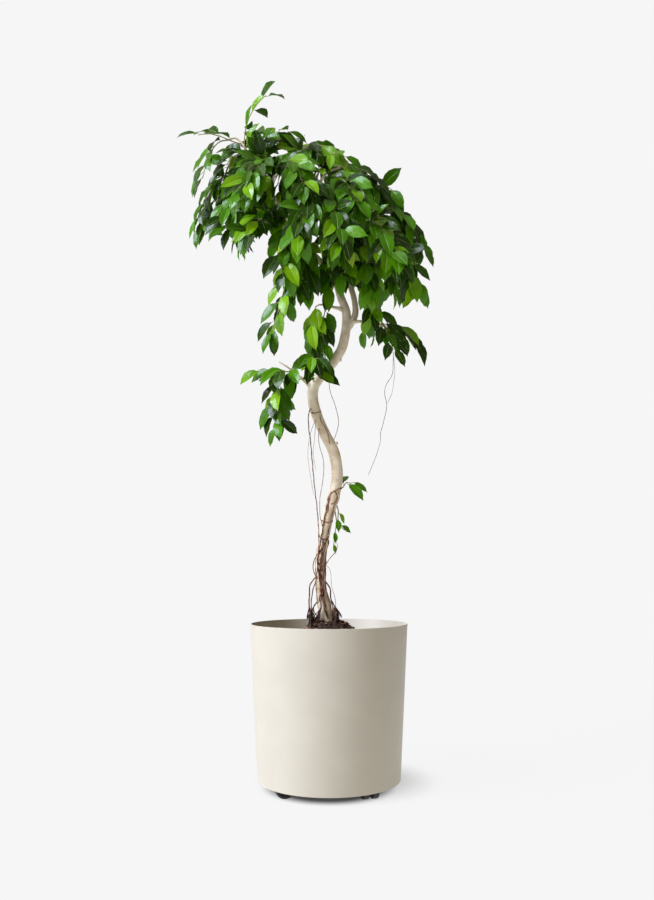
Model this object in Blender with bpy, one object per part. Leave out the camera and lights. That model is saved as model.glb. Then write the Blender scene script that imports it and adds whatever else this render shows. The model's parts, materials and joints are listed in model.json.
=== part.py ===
"""A weeping fig in a cream steel planter that stands on four hidden twin-wheel castors.

The plant's routes are measured from the planter's axis, in metres, with +X to the right,
+Y to the back and +Z up from the floor.
"""

import bisect
import math
import random

import bmesh
import bpy
from mathutils import Matrix, Vector
from mathutils.bvhtree import BVHTree

# The planter's axis stands off the origin, which lies under the middle of the whole plant
PLANTER_AXIS = Vector((0.054, -0.012, 0.0))
GAP = 0.0003
SLIVER = 0.00005

# Planter: a rolled and tapered sheet steel shell with a welded floor, both powder coated
RIM_RADIUS = 0.200
FOOT_RADIUS = 0.183
SHELL_BOTTOM = 0.022
SHELL_TOP = 0.418
WALL = 0.0025
FLOOR_UNDERSIDE = 0.0623
FLOOR_THICKNESS = 0.003
PLANTER_SIDES = 60

# Soil: filled to 40 mm under the rim, with the root ball's mound in the middle
SOIL_EDGE_TOP = 0.378
SOIL_MOUND = ((0.130, 0.380), (0.092, 0.385), (0.064, 0.403), (0.046, 0.418), (0.030, 0.424))
TRUNK_HOLE_RADIUS = 0.0245
TRUNK_HOLE_BOTTOM = 0.300
SOIL_SIDES = 32

# Castors: four twin-wheel furniture castors, each turned its own way at rest
CASTOR_CIRCLE = 0.131
CASTOR_TRAIL = 0.018
CASTOR_TURNS = {"front_right": -75.0, "front_left": 195.0, "back_left": 120.0, "back_right": 20.0}
CASTOR_PLACES = {"front_right": -45.0, "front_left": -135.0, "back_left": 135.0, "back_right": 45.0}
WHEEL_RADIUS = 0.025
WHEEL_SIDES = 16
WHEEL_WIDTH = 0.0145
WHEEL_EDGE = 0.0018
HUB_DEPTH = 0.0125
BORE_RADIUS = 0.0043

# The housing's web: its back edge, an arc round the axle and its front edge, as (x, z) points
WEB_THICKNESS = 0.009
WEB_TOP = 0.0525
WEB_BACK_EDGE = ((-0.0105, WEB_TOP), (-0.0105, 0.040), (0.002, 0.020))
WEB_FRONT_EDGE = ((0.0285, 0.046), (0.0200, WEB_TOP))
BOSS_RADIUS = 0.012
BOSS_ANGLES = (-150.0, -105.0, -60.0, -15.0, 30.0)
AXLE_RADIUS = 0.004
AXLE_SIDES = 8
NECK_RADIUS = 0.011
NECK_TOP = 0.0590
NECK_ROOT = 0.0015
NECK_SIDES = 12
PIN_RADIUS = 0.003
PIN_LENGTH = 0.0075
PIN_SIDES = 8
PLATE_SIDE = 0.040
PLATE_THICKNESS = 0.0025

# Twigs: three-sided, they leave their limb squarely and then follow a parabola
TWIG_RADIUS = 0.0018
TWIG_TIP_RADIUS = 0.0010
TWIG_START = 0.006
TWIG_STEPS = 48
TWIG_BACK = Vector((0.1, -0.2, 1.0))
FIRST_LEAF = 0.8
NODE_LENGTH = 0.0032
BUD_LENGTH = 0.007

# Leaves: ovate blades folded along the midrib, with a drip tip, on slim petioles
LEAF_SEED = 21
LEAF_LENGTH = 0.065
LEAF_HALF_WIDTH = 0.0162
LEAF_SIZES = (0.84, 1.1)
LAST_LEAF_SIZE = 0.85
LEAF_THICKNESS = 0.0013
LEAF_FOLD = math.radians(20.0)
LEAF_BOWS = (18.0, 48.0)
LEAF_STATIONS = ((0.28, 0.98), (0.64, 0.80))
PETIOLE_LENGTH = 0.014
PETIOLE_REACHES = (0.85, 1.25)
PETIOLE_HALF_WIDTH = 0.0011

# How leaves stand: shares of each direction, and how far chance may turn them from it
LEAF_ALONG = 0.62
LEAF_ASIDE = 0.8
LAST_ALONG = 1.0
LAST_ASIDE = 0.28
LEAF_RISE = 0.25
LEAF_OUTWARD = 0.25
FACING_BACK = 0.4
FACING_OUTWARD = 0.45
LIGHT = Vector((-0.30, -0.90, 0.45))
CROWN_AXIS = PLANTER_AXIS + Vector((-0.058, 0.010, 0.0))
TURN_CHANCE = 0.3
TILT_CHANCE = 0.6
ROLL_CHANCE = 0.5
HANG_CHANCE = 0.3
MOST_HANG = 0.9
FIRST_SPREAD = 0.4
TRIES = 40
LEAF_CLEARANCE = 0.0007
PETIOLE_FREE_PART = 0.3

ROOT_SIDES = 3

# Limbs: sides of the tube, then (x, y, z, radius) points from its lower end; the stem is first
LIMBS = {
    "stem": (10, (
        (-0.003, 0, 0.301, 0.02), (-0.003, 0, 0.396, 0.021), (-0.003, 0, 0.416, 0.02),
        (-0.009, 0, 0.447, 0.0175), (-0.017, 0, 0.483, 0.0135), (-0.021, 0, 0.511, 0.0118),
        (-0.022, 0.002, 0.56, 0.0124), (-0.017, 0.003, 0.611, 0.0128), (-0.012, 0.002, 0.647, 0.014),
        (-0.003, 0, 0.692, 0.0152), (0.009, -0.004, 0.733, 0.015), (0.018, -0.006, 0.769, 0.0145),
        (0.021, -0.006, 0.807, 0.0142), (0.012, -0.004, 0.856, 0.014), (-0.011, 0, 0.903, 0.0136),
        (-0.029, 0.002, 0.946, 0.0136), (-0.041, 0.003, 0.988, 0.014), (-0.039, 0.002, 1.026, 0.0138),
        (-0.016, 0, 1.057, 0.0126), (0.013, -0.002, 1.09, 0.0122), (0.036, -0.002, 1.133, 0.012),
        (0.049, 0, 1.18, 0.0122))),
    "leader": (8, (
        (0.047, 0, 1.167, 0.0105), (0.045, 0.002, 1.206, 0.0112), (0.031, 0.006, 1.253, 0.0104),
        (0.018, 0.01, 1.296, 0.0096), (-0.005, 0.016, 1.332, 0.0088), (-0.044, 0.025, 1.377, 0.008),
        (-0.081, 0.03, 1.433, 0.0068), (-0.117, 0.03, 1.485, 0.0058), (-0.153, 0.02, 1.533, 0.0048),
        (-0.187, 0, 1.574, 0.0038), (-0.208, -0.02, 1.6, 0.0028))),
    "second_stem": (8, (
        (0.043, 0, 1.169, 0.008), (0.061, 0, 1.195, 0.0082), (0.068, 0.004, 1.219, 0.0076),
        (0.064, 0.012, 1.256, 0.0072), (0.054, 0.02, 1.292, 0.007), (0.039, 0.035, 1.347, 0.0066),
        (0.023, 0.05, 1.408, 0.006), (0.005, 0.045, 1.476, 0.0054), (-0.016, 0.03, 1.529, 0.0046),
        (-0.042, 0.02, 1.574, 0.0036), (-0.067, 0.01, 1.605, 0.0028))),
    "left_front_limb": (6, (
        (-0.044, 0.025, 1.377, 0.0046), (-0.069, -0.025, 1.382, 0.0038),
        (-0.092, -0.075, 1.384, 0.0028))),
    "left_limb": (6, (
        (-0.117, 0.03, 1.485, 0.0044), (-0.165, 0.045, 1.516, 0.0036), (-0.208, 0.05, 1.544, 0.0028))),
    "left_back_limb": (6, (
        (-0.096, 0.03, 1.457, 0.0044), (-0.13, 0.075, 1.511, 0.0036), (-0.16, 0.12, 1.558, 0.0028))),
    "left_top_limb": (6, (
        (-0.199, -0.01, 1.587, 0.0029), (-0.214, -0.012, 1.63, 0.0026), (-0.237, -0.01, 1.655, 0.0024),
        (-0.258, -0.01, 1.651, 0.0021))),
    "front_top_limb": (6, (
        (-0.153, 0.02, 1.533, 0.0038), (-0.142, -0.03, 1.534, 0.0033), (-0.136, -0.08, 1.535, 0.0026))),
    "right_limb": (6, (
        (0.023, 0.05, 1.408, 0.0048), (0.06, 0.055, 1.457, 0.0042), (0.102, 0.05, 1.492, 0.0034),
        (0.133, 0.045, 1.502, 0.0027))),
    "right_front_limb": (6, (
        (0.034, 0.04, 1.37, 0.0046), (0.051, -0.01, 1.391, 0.0038), (0.067, -0.07, 1.396, 0.0028))),
    "right_back_limb": (6, (
        (0.005, 0.045, 1.476, 0.0044), (0.029, 0.09, 1.531, 0.0036), (0.057, 0.135, 1.57, 0.0028))),
    "right_top_limb": (6, (
        (-0.029, 0.025, 1.553, 0.0036), (-0.003, 0.01, 1.579, 0.003), (0.028, 0, 1.587, 0.0025))),
    "centre_front_limb": (6, (
        (-0.011, 0.035, 1.519, 0.0042), (-0.015, -0.03, 1.514, 0.0035), (-0.02, -0.09, 1.5, 0.0028))),
    "centre_back_limb": (6, (
        (-0.034, 0.022, 1.562, 0.0038), (-0.056, 0.07, 1.609, 0.0032), (-0.076, 0.12, 1.648, 0.0026))),
    "low_right_limb": (6, (
        (0.056, 0, 1.19, 0.0042), (0.083, -0.02, 1.185, 0.0034), (0.116, -0.03, 1.178, 0.0028),
        (0.149, -0.03, 1.166, 0.0022))),
    "low_left_limb": (6, (
        (-0.041, 0, 1.018, 0.0048), (-0.061, -0.01, 1.036, 0.004), (-0.084, -0.02, 1.052, 0.0028),
        (-0.106, -0.028, 1.068, 0.0021), (-0.127, -0.03, 1.08, 0.0016))),
    "low_left_fork": (6, (
        (-0.071, -0.015, 1.043, 0.003), (-0.096, -0.03, 1.029, 0.0026), (-0.116, -0.035, 1.005, 0.0022),
        (-0.129, -0.035, 0.975, 0.0018))),
    "upper_stub": (6, (
        (0.01, -0.002, 1.09, 0.0055), (0.032, -0.005, 1.093, 0.0042))),
    "lower_stub": (6, (
        (0.002, -0.004, 0.872, 0.005), (0.023, -0.007, 0.879, 0.0034))),
    "mid_left_limb": (6, (
        (0.033, 0, 1.223, 0.0038), (0.01, -0.01, 1.225, 0.0032), (-0.008, -0.02, 1.228, 0.0026),
        (-0.026, -0.03, 1.224, 0.002))),
}

# Aerial roots: (x, y, z, radius) points from the top, each with its ends in the trunk or free
ROOTS = {
    "hanging_root_left": (
        (-0.041, 0, 0.972, 0.0016), (-0.051, -0.014, 0.957, 0.0016), (-0.052, -0.018, 0.92, 0.0015),
        (-0.047, -0.018, 0.882, 0.0015), (-0.043, -0.02, 0.834, 0.0015), (-0.036, -0.02, 0.757, 0.0015),
        (-0.031, -0.02, 0.717, 0.0015), (-0.026, -0.018, 0.646, 0.0015), (-0.028, -0.017, 0.59, 0.0015),
        (-0.033, -0.018, 0.534, 0.0016), (-0.043, -0.022, 0.494, 0.0017),
        (-0.046, -0.026, 0.451, 0.0018), (-0.048, -0.028, 0.427, 0.0018)),
    "hanging_root_right": (
        (0.146, -0.03, 1.167, 0.001), (0.156, -0.034, 1.134, 0.0009), (0.161, -0.038, 1.103, 0.0009),
        (0.161, -0.04, 1.07, 0.0008), (0.158, -0.04, 1.044, 0.0008), (0.143, -0.04, 1.019, 0.0008),
        (0.14, -0.04, 0.994, 0.0008), (0.145, -0.04, 0.969, 0.0008), (0.138, -0.04, 0.931, 0.0008),
        (0.13, -0.04, 0.901, 0.0008), (0.128, -0.04, 0.874, 0.0007), (0.118, -0.04, 0.841, 0.0007),
        (0.108, -0.04, 0.816, 0.0007), (0.098, -0.04, 0.791, 0.0006)),
    "hanging_root_mid": (
        (-0.023, -0.004, 0.928, 0.001), (-0.027, -0.018, 0.895, 0.0009),
        (-0.023, -0.022, 0.864, 0.0009), (-0.014, -0.022, 0.831, 0.0009),
        (-0.015, -0.02, 0.788, 0.0009), (-0.023, -0.018, 0.737, 0.0009),
        (-0.023, -0.016, 0.697, 0.0009), (-0.016, -0.008, 0.657, 0.0009)),
    "hanging_root_back": (
        (-0, 0.004, 1.063, 0.001), (-0, -0.016, 1.027, 0.0009), (0.005, -0.02, 1.001, 0.0009),
        (0.014, -0.02, 0.976, 0.0009), (0.024, -0.02, 0.935, 0.0009), (0.018, -0.014, 0.901, 0.0009),
        (0.005, -0.002, 0.872, 0.0009)),
    "clinging_root_left": (
        (0.01, -0.012, 0.768, 0.0018), (0.002, -0.018, 0.742, 0.0019), (-0.008, -0.016, 0.707, 0.0019),
        (-0.016, -0.014, 0.661, 0.0019), (-0.023, -0.013, 0.618, 0.0019),
        (-0.028, -0.013, 0.565, 0.0019), (-0.021, -0.014, 0.504, 0.002),
        (-0.021, -0.022, 0.461, 0.0022), (-0.025, -0.032, 0.432, 0.0022)),
    "clinging_root_right": (
        (0.025, -0.012, 0.763, 0.0017), (0.018, -0.017, 0.732, 0.0018), (0.007, -0.017, 0.692, 0.0018),
        (-0.003, -0.015, 0.646, 0.0018), (-0.013, -0.014, 0.6, 0.0018), (-0.016, -0.013, 0.549, 0.0018),
        (-0.01, -0.014, 0.509, 0.0019), (0.002, -0.018, 0.478, 0.002), (0.012, -0.024, 0.456, 0.0022),
        (0.02, -0.032, 0.433, 0.0022)),
    "arch_root_left": (
        (-0.026, -0.004, 0.544, 0.0022), (-0.045, -0.01, 0.524, 0.0021), (-0.05, -0.012, 0.501, 0.0021),
        (-0.051, -0.012, 0.463, 0.0022), (-0.056, -0.012, 0.428, 0.0024)),
    "arch_root_right": (
        (-0.018, 0.002, 0.534, 0.0022), (0.001, 0.004, 0.511, 0.0021), (0.006, 0.004, 0.477, 0.0021),
        (0.02, 0.004, 0.454, 0.0022), (0.033, 0.004, 0.433, 0.0024)),
    "foot_root_left": (
        (-0.023, 0.006, 0.482, 0.0022), (-0.041, 0.012, 0.457, 0.0022), (-0.057, 0.018, 0.428, 0.0024)),
    "foot_root_back": (
        (-0.018, 0.006, 0.498, 0.0022), (-0.008, 0.02, 0.466, 0.0022), (0.008, 0.034, 0.442, 0.0024),
        (0.015, 0.044, 0.427, 0.0024)),
}

# Leafy twigs: name, limb, part of its length, the twig's middle and end, leaves, their hang
SPRAYS = (
    ("crown_tip", "leader", 1,
     (-0.208, -0.02, 1.689), (-0.165, -0.02, 1.755), 8, -0.15, 1),
    ("far_left_top", "left_top_limb", 1,
     (-0.295, -0.02, 1.623), (-0.318, -0.03, 1.549), 9, 0.3, 1),
    ("left_arch", "left_top_limb", 0.6,
     (-0.286, -0.03, 1.653), (-0.322, -0.04, 1.649), 4, 0.03, 1),
    ("left_upper_fall", "left_top_limb", 0.3,
     (-0.255, 0.03, 1.62), (-0.282, 0.04, 1.542), 9, 0.4, 1),
    ("left_fall_outer", "left_limb", 1,
     (-0.293, 0.04, 1.573), (-0.33, 0.03, 1.459), 11, 0.4, 1),
    ("left_fall_inner", "left_limb", 0.75,
     (-0.239, -0.02, 1.519), (-0.253, -0.05, 1.419), 9, 0.45, 1),
    ("left_fall_back", "left_limb", 0.5,
     (-0.216, 0.11, 1.559), (-0.233, 0.14, 1.469), 9, 0.45, 1),
    ("top_front_left", "front_top_limb", 1,
     (-0.169, -0.15, 1.516), (-0.197, -0.2, 1.433), 10, 0.4, 1),
    ("top_front_mid", "front_top_limb", 0.7,
     (-0.097, -0.11, 1.542), (-0.061, -0.17, 1.462), 10, 0.4, 1),
    ("top_mid", "leader", 0.93,
     (-0.172, 0.03, 1.675), (-0.113, 0.05, 1.702), 8, 0.2, 1),
    ("top_arch", "second_stem", 1,
     (-0.062, 0, 1.638), (-0.01, -0.01, 1.636), 8, 0.2, 1),
    ("top_right_arch", "right_top_limb", 0.35,
     (0.002, 0.05, 1.639), (0.043, 0.1, 1.646), 8, 0.25, 1),
    ("top_right", "right_top_limb", 1,
     (0.082, 0, 1.574), (0.123, 0.01, 1.533), 9, 0.35, 1),
    ("right_shoulder", "right_limb", 0.75,
     (0.133, 0.04, 1.55), (0.17, 0.04, 1.542), 8, 0.25, 1),
    ("right_front_high", "centre_front_limb", 0.6,
     (0.027, -0.1, 1.51), (0.063, -0.17, 1.424), 9, 0.4, 1),
    ("right_fall_outer", "right_limb", 1,
     (0.195, 0.03, 1.475), (0.24, 0.02, 1.388), 10, 0.4, 1),
    ("right_fall_back", "right_limb", 0.8,
     (0.187, 0.12, 1.487), (0.207, 0.16, 1.4), 9, 0.45, 1),
    ("right_fall_front", "right_front_limb", 1,
     (0.116, -0.15, 1.367), (0.15, -0.2, 1.267), 10, 0.45, 1),
    ("right_low_outer", "right_limb", 0.88,
     (0.18, -0.05, 1.359), (0.219, -0.06, 1.261), 9, 0.45, 1),
    ("right_inner_fall", "right_limb", 0.45,
     (0.134, 0.06, 1.42), (0.167, 0.07, 1.318), 8, 0.5, 1),
    ("centre_front_left", "centre_front_limb", 1,
     (-0.047, -0.16, 1.438), (-0.072, -0.21, 1.332), 9, 0.5, 1),
    ("centre_front_right", "centre_front_limb", 0.8,
     (0.009, -0.16, 1.415), (0.027, -0.21, 1.314), 9, 0.5, 1),
    ("front_right_inner", "right_front_limb", 0.6,
     (0.039, -0.1, 1.354), (0.036, -0.14, 1.271), 8, 0.5, 1),
    ("front_right_outer", "right_front_limb", 0.9,
     (0.089, -0.12, 1.327), (0.1, -0.14, 1.247), 8, 0.5, 1),
    ("under_centre", "second_stem", 0.62,
     (0.012, -0.01, 1.35), (-0.003, -0.04, 1.273), 7, 0.6, 1),
    ("left_front_inner", "left_front_limb", 0.5,
     (-0.062, -0.07, 1.332), (-0.064, -0.1, 1.261), 7, 0.5, 1),
    ("left_front_mid", "left_front_limb", 1,
     (-0.11, -0.14, 1.342), (-0.108, -0.17, 1.26), 8, 0.5, 1),
    ("left_front_outer", "leader", 0.72,
     (-0.156, -0.1, 1.425), (-0.181, -0.17, 1.349), 9, 0.45, 1),
    ("long_left_fall", "leader", 0.6,
     (-0.11, -0.01, 1.294), (-0.145, -0.02, 1.163), 11, 0.5, 1),
    ("mid_left", "mid_left_limb", 1,
     (-0.036, -0.03, 1.206), (-0.04, -0.04, 1.137), 8, 0.55, 1),
    ("low_left_high", "low_left_limb", 0.68,
     (-0.115, -0.055, 1.048), (-0.162, -0.06, 1.042), 8, 0.4, 1),
    ("low_left_fall", "low_left_fork", 0.4,
     (-0.133, -0.045, 1.006), (-0.13, -0.05, 0.924), 10, 0.4, 1),
    ("low_left_front", "stem", 0.812,
     (-0.035, -0.05, 1.075), (-0.042, -0.09, 1.074), 7, 0.5, 1),
    ("low_right_outer", "low_right_limb", 1,
     (0.174, -0.03, 1.166), (0.21, -0.02, 1.13), 7, 0.4, 1),
    ("low_right_inner", "low_right_limb", 0.55,
     (0.122, 0.03, 1.22), (0.103, 0.06, 1.193), 7, 0.45, 1),
    ("trunk_sprig", "stem", 0.51,
     (0.042, 0, 0.777), (0.054, 0, 0.777), 3, 0.3, 0.8),
    ("trunk_sprig_low", "stem", 0.463,
     (0.024, -0.004, 0.677), (0.039, -0.006, 0.657), 4, 0.4, 0.5),
    ("back_left", "left_back_limb", 1,
     (-0.219, 0.19, 1.602), (-0.253, 0.22, 1.519), 9, 0.5, 1),
    ("back_centre", "centre_back_limb", 1,
     (-0.12, 0.18, 1.664), (-0.142, 0.22, 1.564), 9, 0.45, 1),
    ("back_right", "right_back_limb", 1,
     (0.115, 0.19, 1.574), (0.153, 0.22, 1.479), 9, 0.5, 1),
    ("back_inner", "right_back_limb", 0.6,
     (0.047, 0.16, 1.532), (0.036, 0.19, 1.439), 9, 0.5, 1),
)


def clear_scene():
    for thing in list(bpy.data.objects):
        bpy.data.objects.remove(thing, do_unlink=True)


def material(name, color, roughness, metallic=0.0):
    made = bpy.data.materials.new(name)
    made.use_nodes = True
    shader = made.node_tree.nodes["Principled BSDF"]
    shader.inputs["Base Color"].default_value = (*color, 1.0)
    shader.inputs["Roughness"].default_value = roughness
    shader.inputs["Metallic"].default_value = metallic
    return made


def make_object(name, mesh, finish, place=None):
    made = bpy.data.objects.new(name, mesh)
    bpy.context.scene.collection.objects.link(made)
    mesh.materials.clear()
    mesh.materials.append(finish)
    if place is not None:
        made.location = place
    return made


def mesh_from(bm, name):
    bmesh.ops.recalc_face_normals(bm, faces=bm.faces)
    mesh = bpy.data.meshes.new(name)
    bm.to_mesh(mesh)
    bm.free()
    return mesh


def turned(profile, sides, name, start=0.0):
    """Spin an open profile of (radius, height) points, whose ends lie on the axis, round Z."""
    bm = bmesh.new()
    turn = Matrix.Rotation(start, 3, "Z")
    points = [bm.verts.new(turn @ Vector((radius, 0.0, height))) for radius, height in profile]
    edges = [bm.edges.new(pair) for pair in zip(points, points[1:])]
    bmesh.ops.spin(bm, geom=points + edges, axis=(0, 0, 1), cent=(0, 0, 0),
                   angle=math.tau, steps=sides, use_merge=True)
    bmesh.ops.remove_doubles(bm, verts=bm.verts, dist=1e-6)
    return mesh_from(bm, name)


def apply_modifiers(target):
    graph = bpy.context.evaluated_depsgraph_get()
    solid = bpy.data.meshes.new_from_object(target.evaluated_get(graph))
    target.modifiers.clear()
    target.data = solid


def join_by_union(target, tools):
    """Fuse the tools into the target with one Boolean union, then take the tools away."""
    group = bpy.data.collections.new(target.name + "_pieces")
    bpy.context.scene.collection.children.link(group)
    for tool in tools:
        bpy.context.scene.collection.objects.unlink(tool)
        group.objects.link(tool)
    union = target.modifiers.new("union", "BOOLEAN")
    union.operation = "UNION"
    union.operand_type = "COLLECTION"
    union.collection = group
    union.solver = "EXACT"
    apply_modifiers(target)
    for tool in tools:
        bpy.data.objects.remove(tool, do_unlink=True)
    bpy.data.collections.remove(group)


def weld_slivers(mesh):
    """Close up the tiny edges that a union leaves where tubes meet, and cut faces flat."""
    bm = bmesh.new()
    bm.from_mesh(mesh)
    bmesh.ops.triangulate(bm, faces=bm.faces)
    bmesh.ops.dissolve_degenerate(bm, dist=SLIVER, edges=bm.edges)
    bmesh.ops.triangulate(bm, faces=bm.faces)
    bm.to_mesh(mesh)
    bm.free()


def shell_radius(height):
    """Outer radius of the planter's straight taper at a height."""
    part = (height - SHELL_BOTTOM) / (SHELL_TOP - SHELL_BOTTOM)
    return FOOT_RADIUS + part * (RIM_RADIUS - FOOT_RADIUS)


def make_planter(finish):
    floor_top = FLOOR_UNDERSIDE + FLOOR_THICKNESS
    profile = (
        (0.0, FLOOR_UNDERSIDE),
        (shell_radius(FLOOR_UNDERSIDE) - WALL, FLOOR_UNDERSIDE),
        (FOOT_RADIUS - WALL, SHELL_BOTTOM),
        (FOOT_RADIUS, SHELL_BOTTOM),
        (RIM_RADIUS, SHELL_TOP),
        (RIM_RADIUS - WALL, SHELL_TOP),
        (shell_radius(floor_top) - WALL, floor_top),
        (0.0, floor_top),
    )
    return make_object("planter", turned(profile, PLANTER_SIDES, "planter"), finish, PLANTER_AXIS)


def make_soil(finish):
    bottom = FLOOR_UNDERSIDE + FLOOR_THICKNESS + GAP
    inset = WALL + 3 * GAP
    profile = (
        (0.0, bottom),
        (shell_radius(bottom) - inset, bottom),
        (shell_radius(SOIL_EDGE_TOP) - inset, SOIL_EDGE_TOP),
        *SOIL_MOUND,
        (TRUNK_HOLE_RADIUS, SOIL_MOUND[-1][1]),
        (TRUNK_HOLE_RADIUS, TRUNK_HOLE_BOTTOM),
        (0.0, TRUNK_HOLE_BOTTOM),
    )
    return make_object("soil", turned(profile, SOIL_SIDES, "soil"), finish, PLANTER_AXIS)


def plant_point(point):
    return PLANTER_AXIS + Vector(point[:3])


def tube_rings(route, sides):
    """Rings round a route, each square to it and turned as little as it can from the last."""
    points = [plant_point(place) for place in route]
    rings = []
    side = (points[1] - points[0]).normalized().orthogonal()
    for place, point in enumerate(points):
        before = points[max(place - 1, 0)]
        after = points[min(place + 1, len(points) - 1)]
        tangent = (after - before).normalized()
        side = square_to(side, tangent)
        other = tangent.cross(side)
        radius = route[place][3]
        ring = []
        for step in range(sides):
            angle = math.tau * step / sides
            ring.append(point + radius * (side * math.cos(angle) + other * math.sin(angle)))
        rings.append(ring)
    return rings


def square_to(vector, tangent):
    return (vector - tangent * vector.dot(tangent)).normalized()


def ring_faces(count, sides):
    """Quads that join rings of corners numbered one ring after another, with both ends shut."""
    faces = []
    for ring in range(count - 1):
        for step in range(sides):
            after = (step + 1) % sides
            low = ring * sides
            faces.append((low + step, low + after, low + sides + after, low + sides + step))
    faces.append(tuple(range(sides)))
    faces.append(tuple(range((count - 1) * sides, count * sides)))
    return faces


def tube_shape(route, sides):
    """Corners and faces of a closed tube along a route of (x, y, z, radius) points."""
    rings = tube_rings(route, sides)
    return [corner for ring in rings for corner in ring], ring_faces(len(rings), sides)


def tube(name, route, sides, finish):
    corners, faces = tube_shape(route, sides)
    bm = bmesh.new()
    points = [bm.verts.new(corner) for corner in corners]
    for face in faces:
        bm.faces.new([points[place] for place in face])
    return make_object(name, mesh_from(bm, name), finish)


def make_trunk(finish):
    """The trunk with its limbs and aerial roots: one growth, so one solid."""
    pieces = [tube(name, route, sides, finish) for name, (sides, route) in LIMBS.items()]
    pieces += [tube(name, route, ROOT_SIDES, finish) for name, route in ROOTS.items()]
    trunk = pieces[0]
    trunk.name = "trunk"
    join_by_union(trunk, pieces[1:])
    weld_slivers(trunk.data)
    return trunk



class Obstacles:
    """What has grown so far, kept as one search tree and one box for each piece."""

    def __init__(self):
        self.pieces = []

    def add(self, corners, faces):
        low = [min(c[axis] for c in corners) for axis in range(3)]
        high = [max(c[axis] for c in corners) for axis in range(3)]
        self.pieces.append((low, high, BVHTree.FromPolygons(corners, faces)))

    def meets(self, corners, faces):
        low = [min(c[axis] for c in corners) for axis in range(3)]
        high = [max(c[axis] for c in corners) for axis in range(3)]
        tree = None
        for other_low, other_high, other in self.pieces:
            if any(low[a] > other_high[a] or high[a] < other_low[a] for a in range(3)):
                continue
            tree = tree or BVHTree.FromPolygons(corners, faces)
            if tree.overlap(other):
                return True
        return False


def limb_point(route, part):
    """Place, direction and radius at a part of a limb's length."""
    points = [plant_point(p) for p in route]
    spans = [(b - a).length for a, b in zip(points, points[1:])]
    left = part * sum(spans)
    for place, span in enumerate(spans):
        if left <= span or place == len(spans) - 1:
            break
        left -= span
    share = min(left / spans[place], 1.0)
    radius = route[place][3] + share * (route[place + 1][3] - route[place][3])
    tangent = (points[place + 1] - points[place]).normalized()
    return points[place].lerp(points[place + 1], share), tangent, radius


def parabola(root, middle, end):
    """Points along the parabola through three places, and how far along it each one is."""
    bend = 2.0 * middle - (root + end) / 2.0
    points = []
    for step in range(TWIG_STEPS + 1):
        t = step / TWIG_STEPS
        points.append(root * (1 - t) ** 2 + bend * 2 * t * (1 - t) + end * t * t)
    distances = [0.0]
    for before, after in zip(points, points[1:]):
        distances.append(distances[-1] + (after - before).length)
    return points, distances


def point_along(points, distances, wanted):
    """The point at a distance along the route, which runs on straight past its end."""
    place = min(bisect.bisect_right(distances, wanted), len(points) - 1)
    span = distances[place] - distances[place - 1]
    share = (wanted - distances[place - 1]) / span
    return points[place - 1] + (points[place] - points[place - 1]) * share


def seat_twig(limb, start, out):
    """Bring a twig's start in towards its limb, until its first ring stands off by the gap."""
    sides, route = LIMBS[limb]
    surface = BVHTree.FromPolygons(*tube_shape(route, sides))
    back = square_to(TWIG_BACK, out)
    ring = twig_ring((start, out, out.cross(back), back, TWIG_RADIUS))
    ring += [one.lerp(other, 0.5) for one, other in zip(ring, ring[1:] + ring[:1])]
    nearest = min(surface.find_nearest(place)[3] for place in ring + [start])
    return start - out * (nearest - GAP)


def twig_points(limb, part, middle, end, leaves):
    """A twig's start and its corners' middles: two for each leaf's node, then its bud's tip."""
    centre, along, limb_radius = limb_point(LIMBS[limb][1], part)
    middle = plant_point(middle)
    grows_on = part == 1.0
    out = along if grows_on else square_to(middle - centre, along)
    start = seat_twig(limb, centre + out * (GAP if grows_on else limb_radius + GAP), out)
    points, distances = parabola(start + out * TWIG_START, middle, plant_point(end))
    twig = [start]
    for leaf in range(leaves):
        share = (leaf + FIRST_LEAF) / (leaves - 1 + FIRST_LEAF)
        for step in (-0.5, 0.5):
            twig.append(point_along(points, distances, share * distances[-1] + step * NODE_LENGTH))
    twig.append(twig[-1] + (twig[-1] - twig[-2]).normalized() * BUD_LENGTH)
    return twig, out


def twig_frames(points, out):
    """Frames (point, tangent, side, back, radius) at a twig's points, with the least turning."""
    frames = []
    back = square_to(TWIG_BACK, out)
    for place, point in enumerate(points):
        after = points[min(place + 1, len(points) - 1)]
        tangent = (after - points[place - 1]).normalized() if place else out
        back = square_to(back, tangent)
        share = place / (len(points) - 1)
        radius = TWIG_RADIUS + share * (TWIG_TIP_RADIUS - TWIG_RADIUS)
        frames.append((point, tangent, tangent.cross(back), back, radius))
    return frames


def twig_ring(frame):
    """Three corners: the twig's back, and its left and right below."""
    point, _, side, back, radius = frame
    low = point - back * radius * 0.5
    return [point + back * radius, low - side * radius * 0.87, low + side * radius * 0.87]


def blade_point(leaf, t):
    """Middle and upward direction of the blade at t: its midrib is an arc that bows down."""
    arc = leaf["bow"]
    base, ahead, up = leaf["base"], leaf["ahead"], leaf["up"]
    bowed = ahead * math.sin(arc * t) - up * (1.0 - math.cos(arc * t))
    return base + bowed * (leaf["length"] / arc), up * math.cos(arc * t) + ahead * math.sin(arc * t)


def blade_ring(leaf, t, half_width, thickness):
    """Left edge, midrib's top, right edge and midrib's underside at t."""
    middle, up = blade_point(leaf, t)
    across = leaf["across"] * half_width * math.cos(LEAF_FOLD)
    lift = up * half_width * math.sin(LEAF_FOLD)
    top = middle + up * thickness / 2
    under = middle - up * thickness / 2
    return [middle - across + lift, top, middle + across + lift, under]


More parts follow.
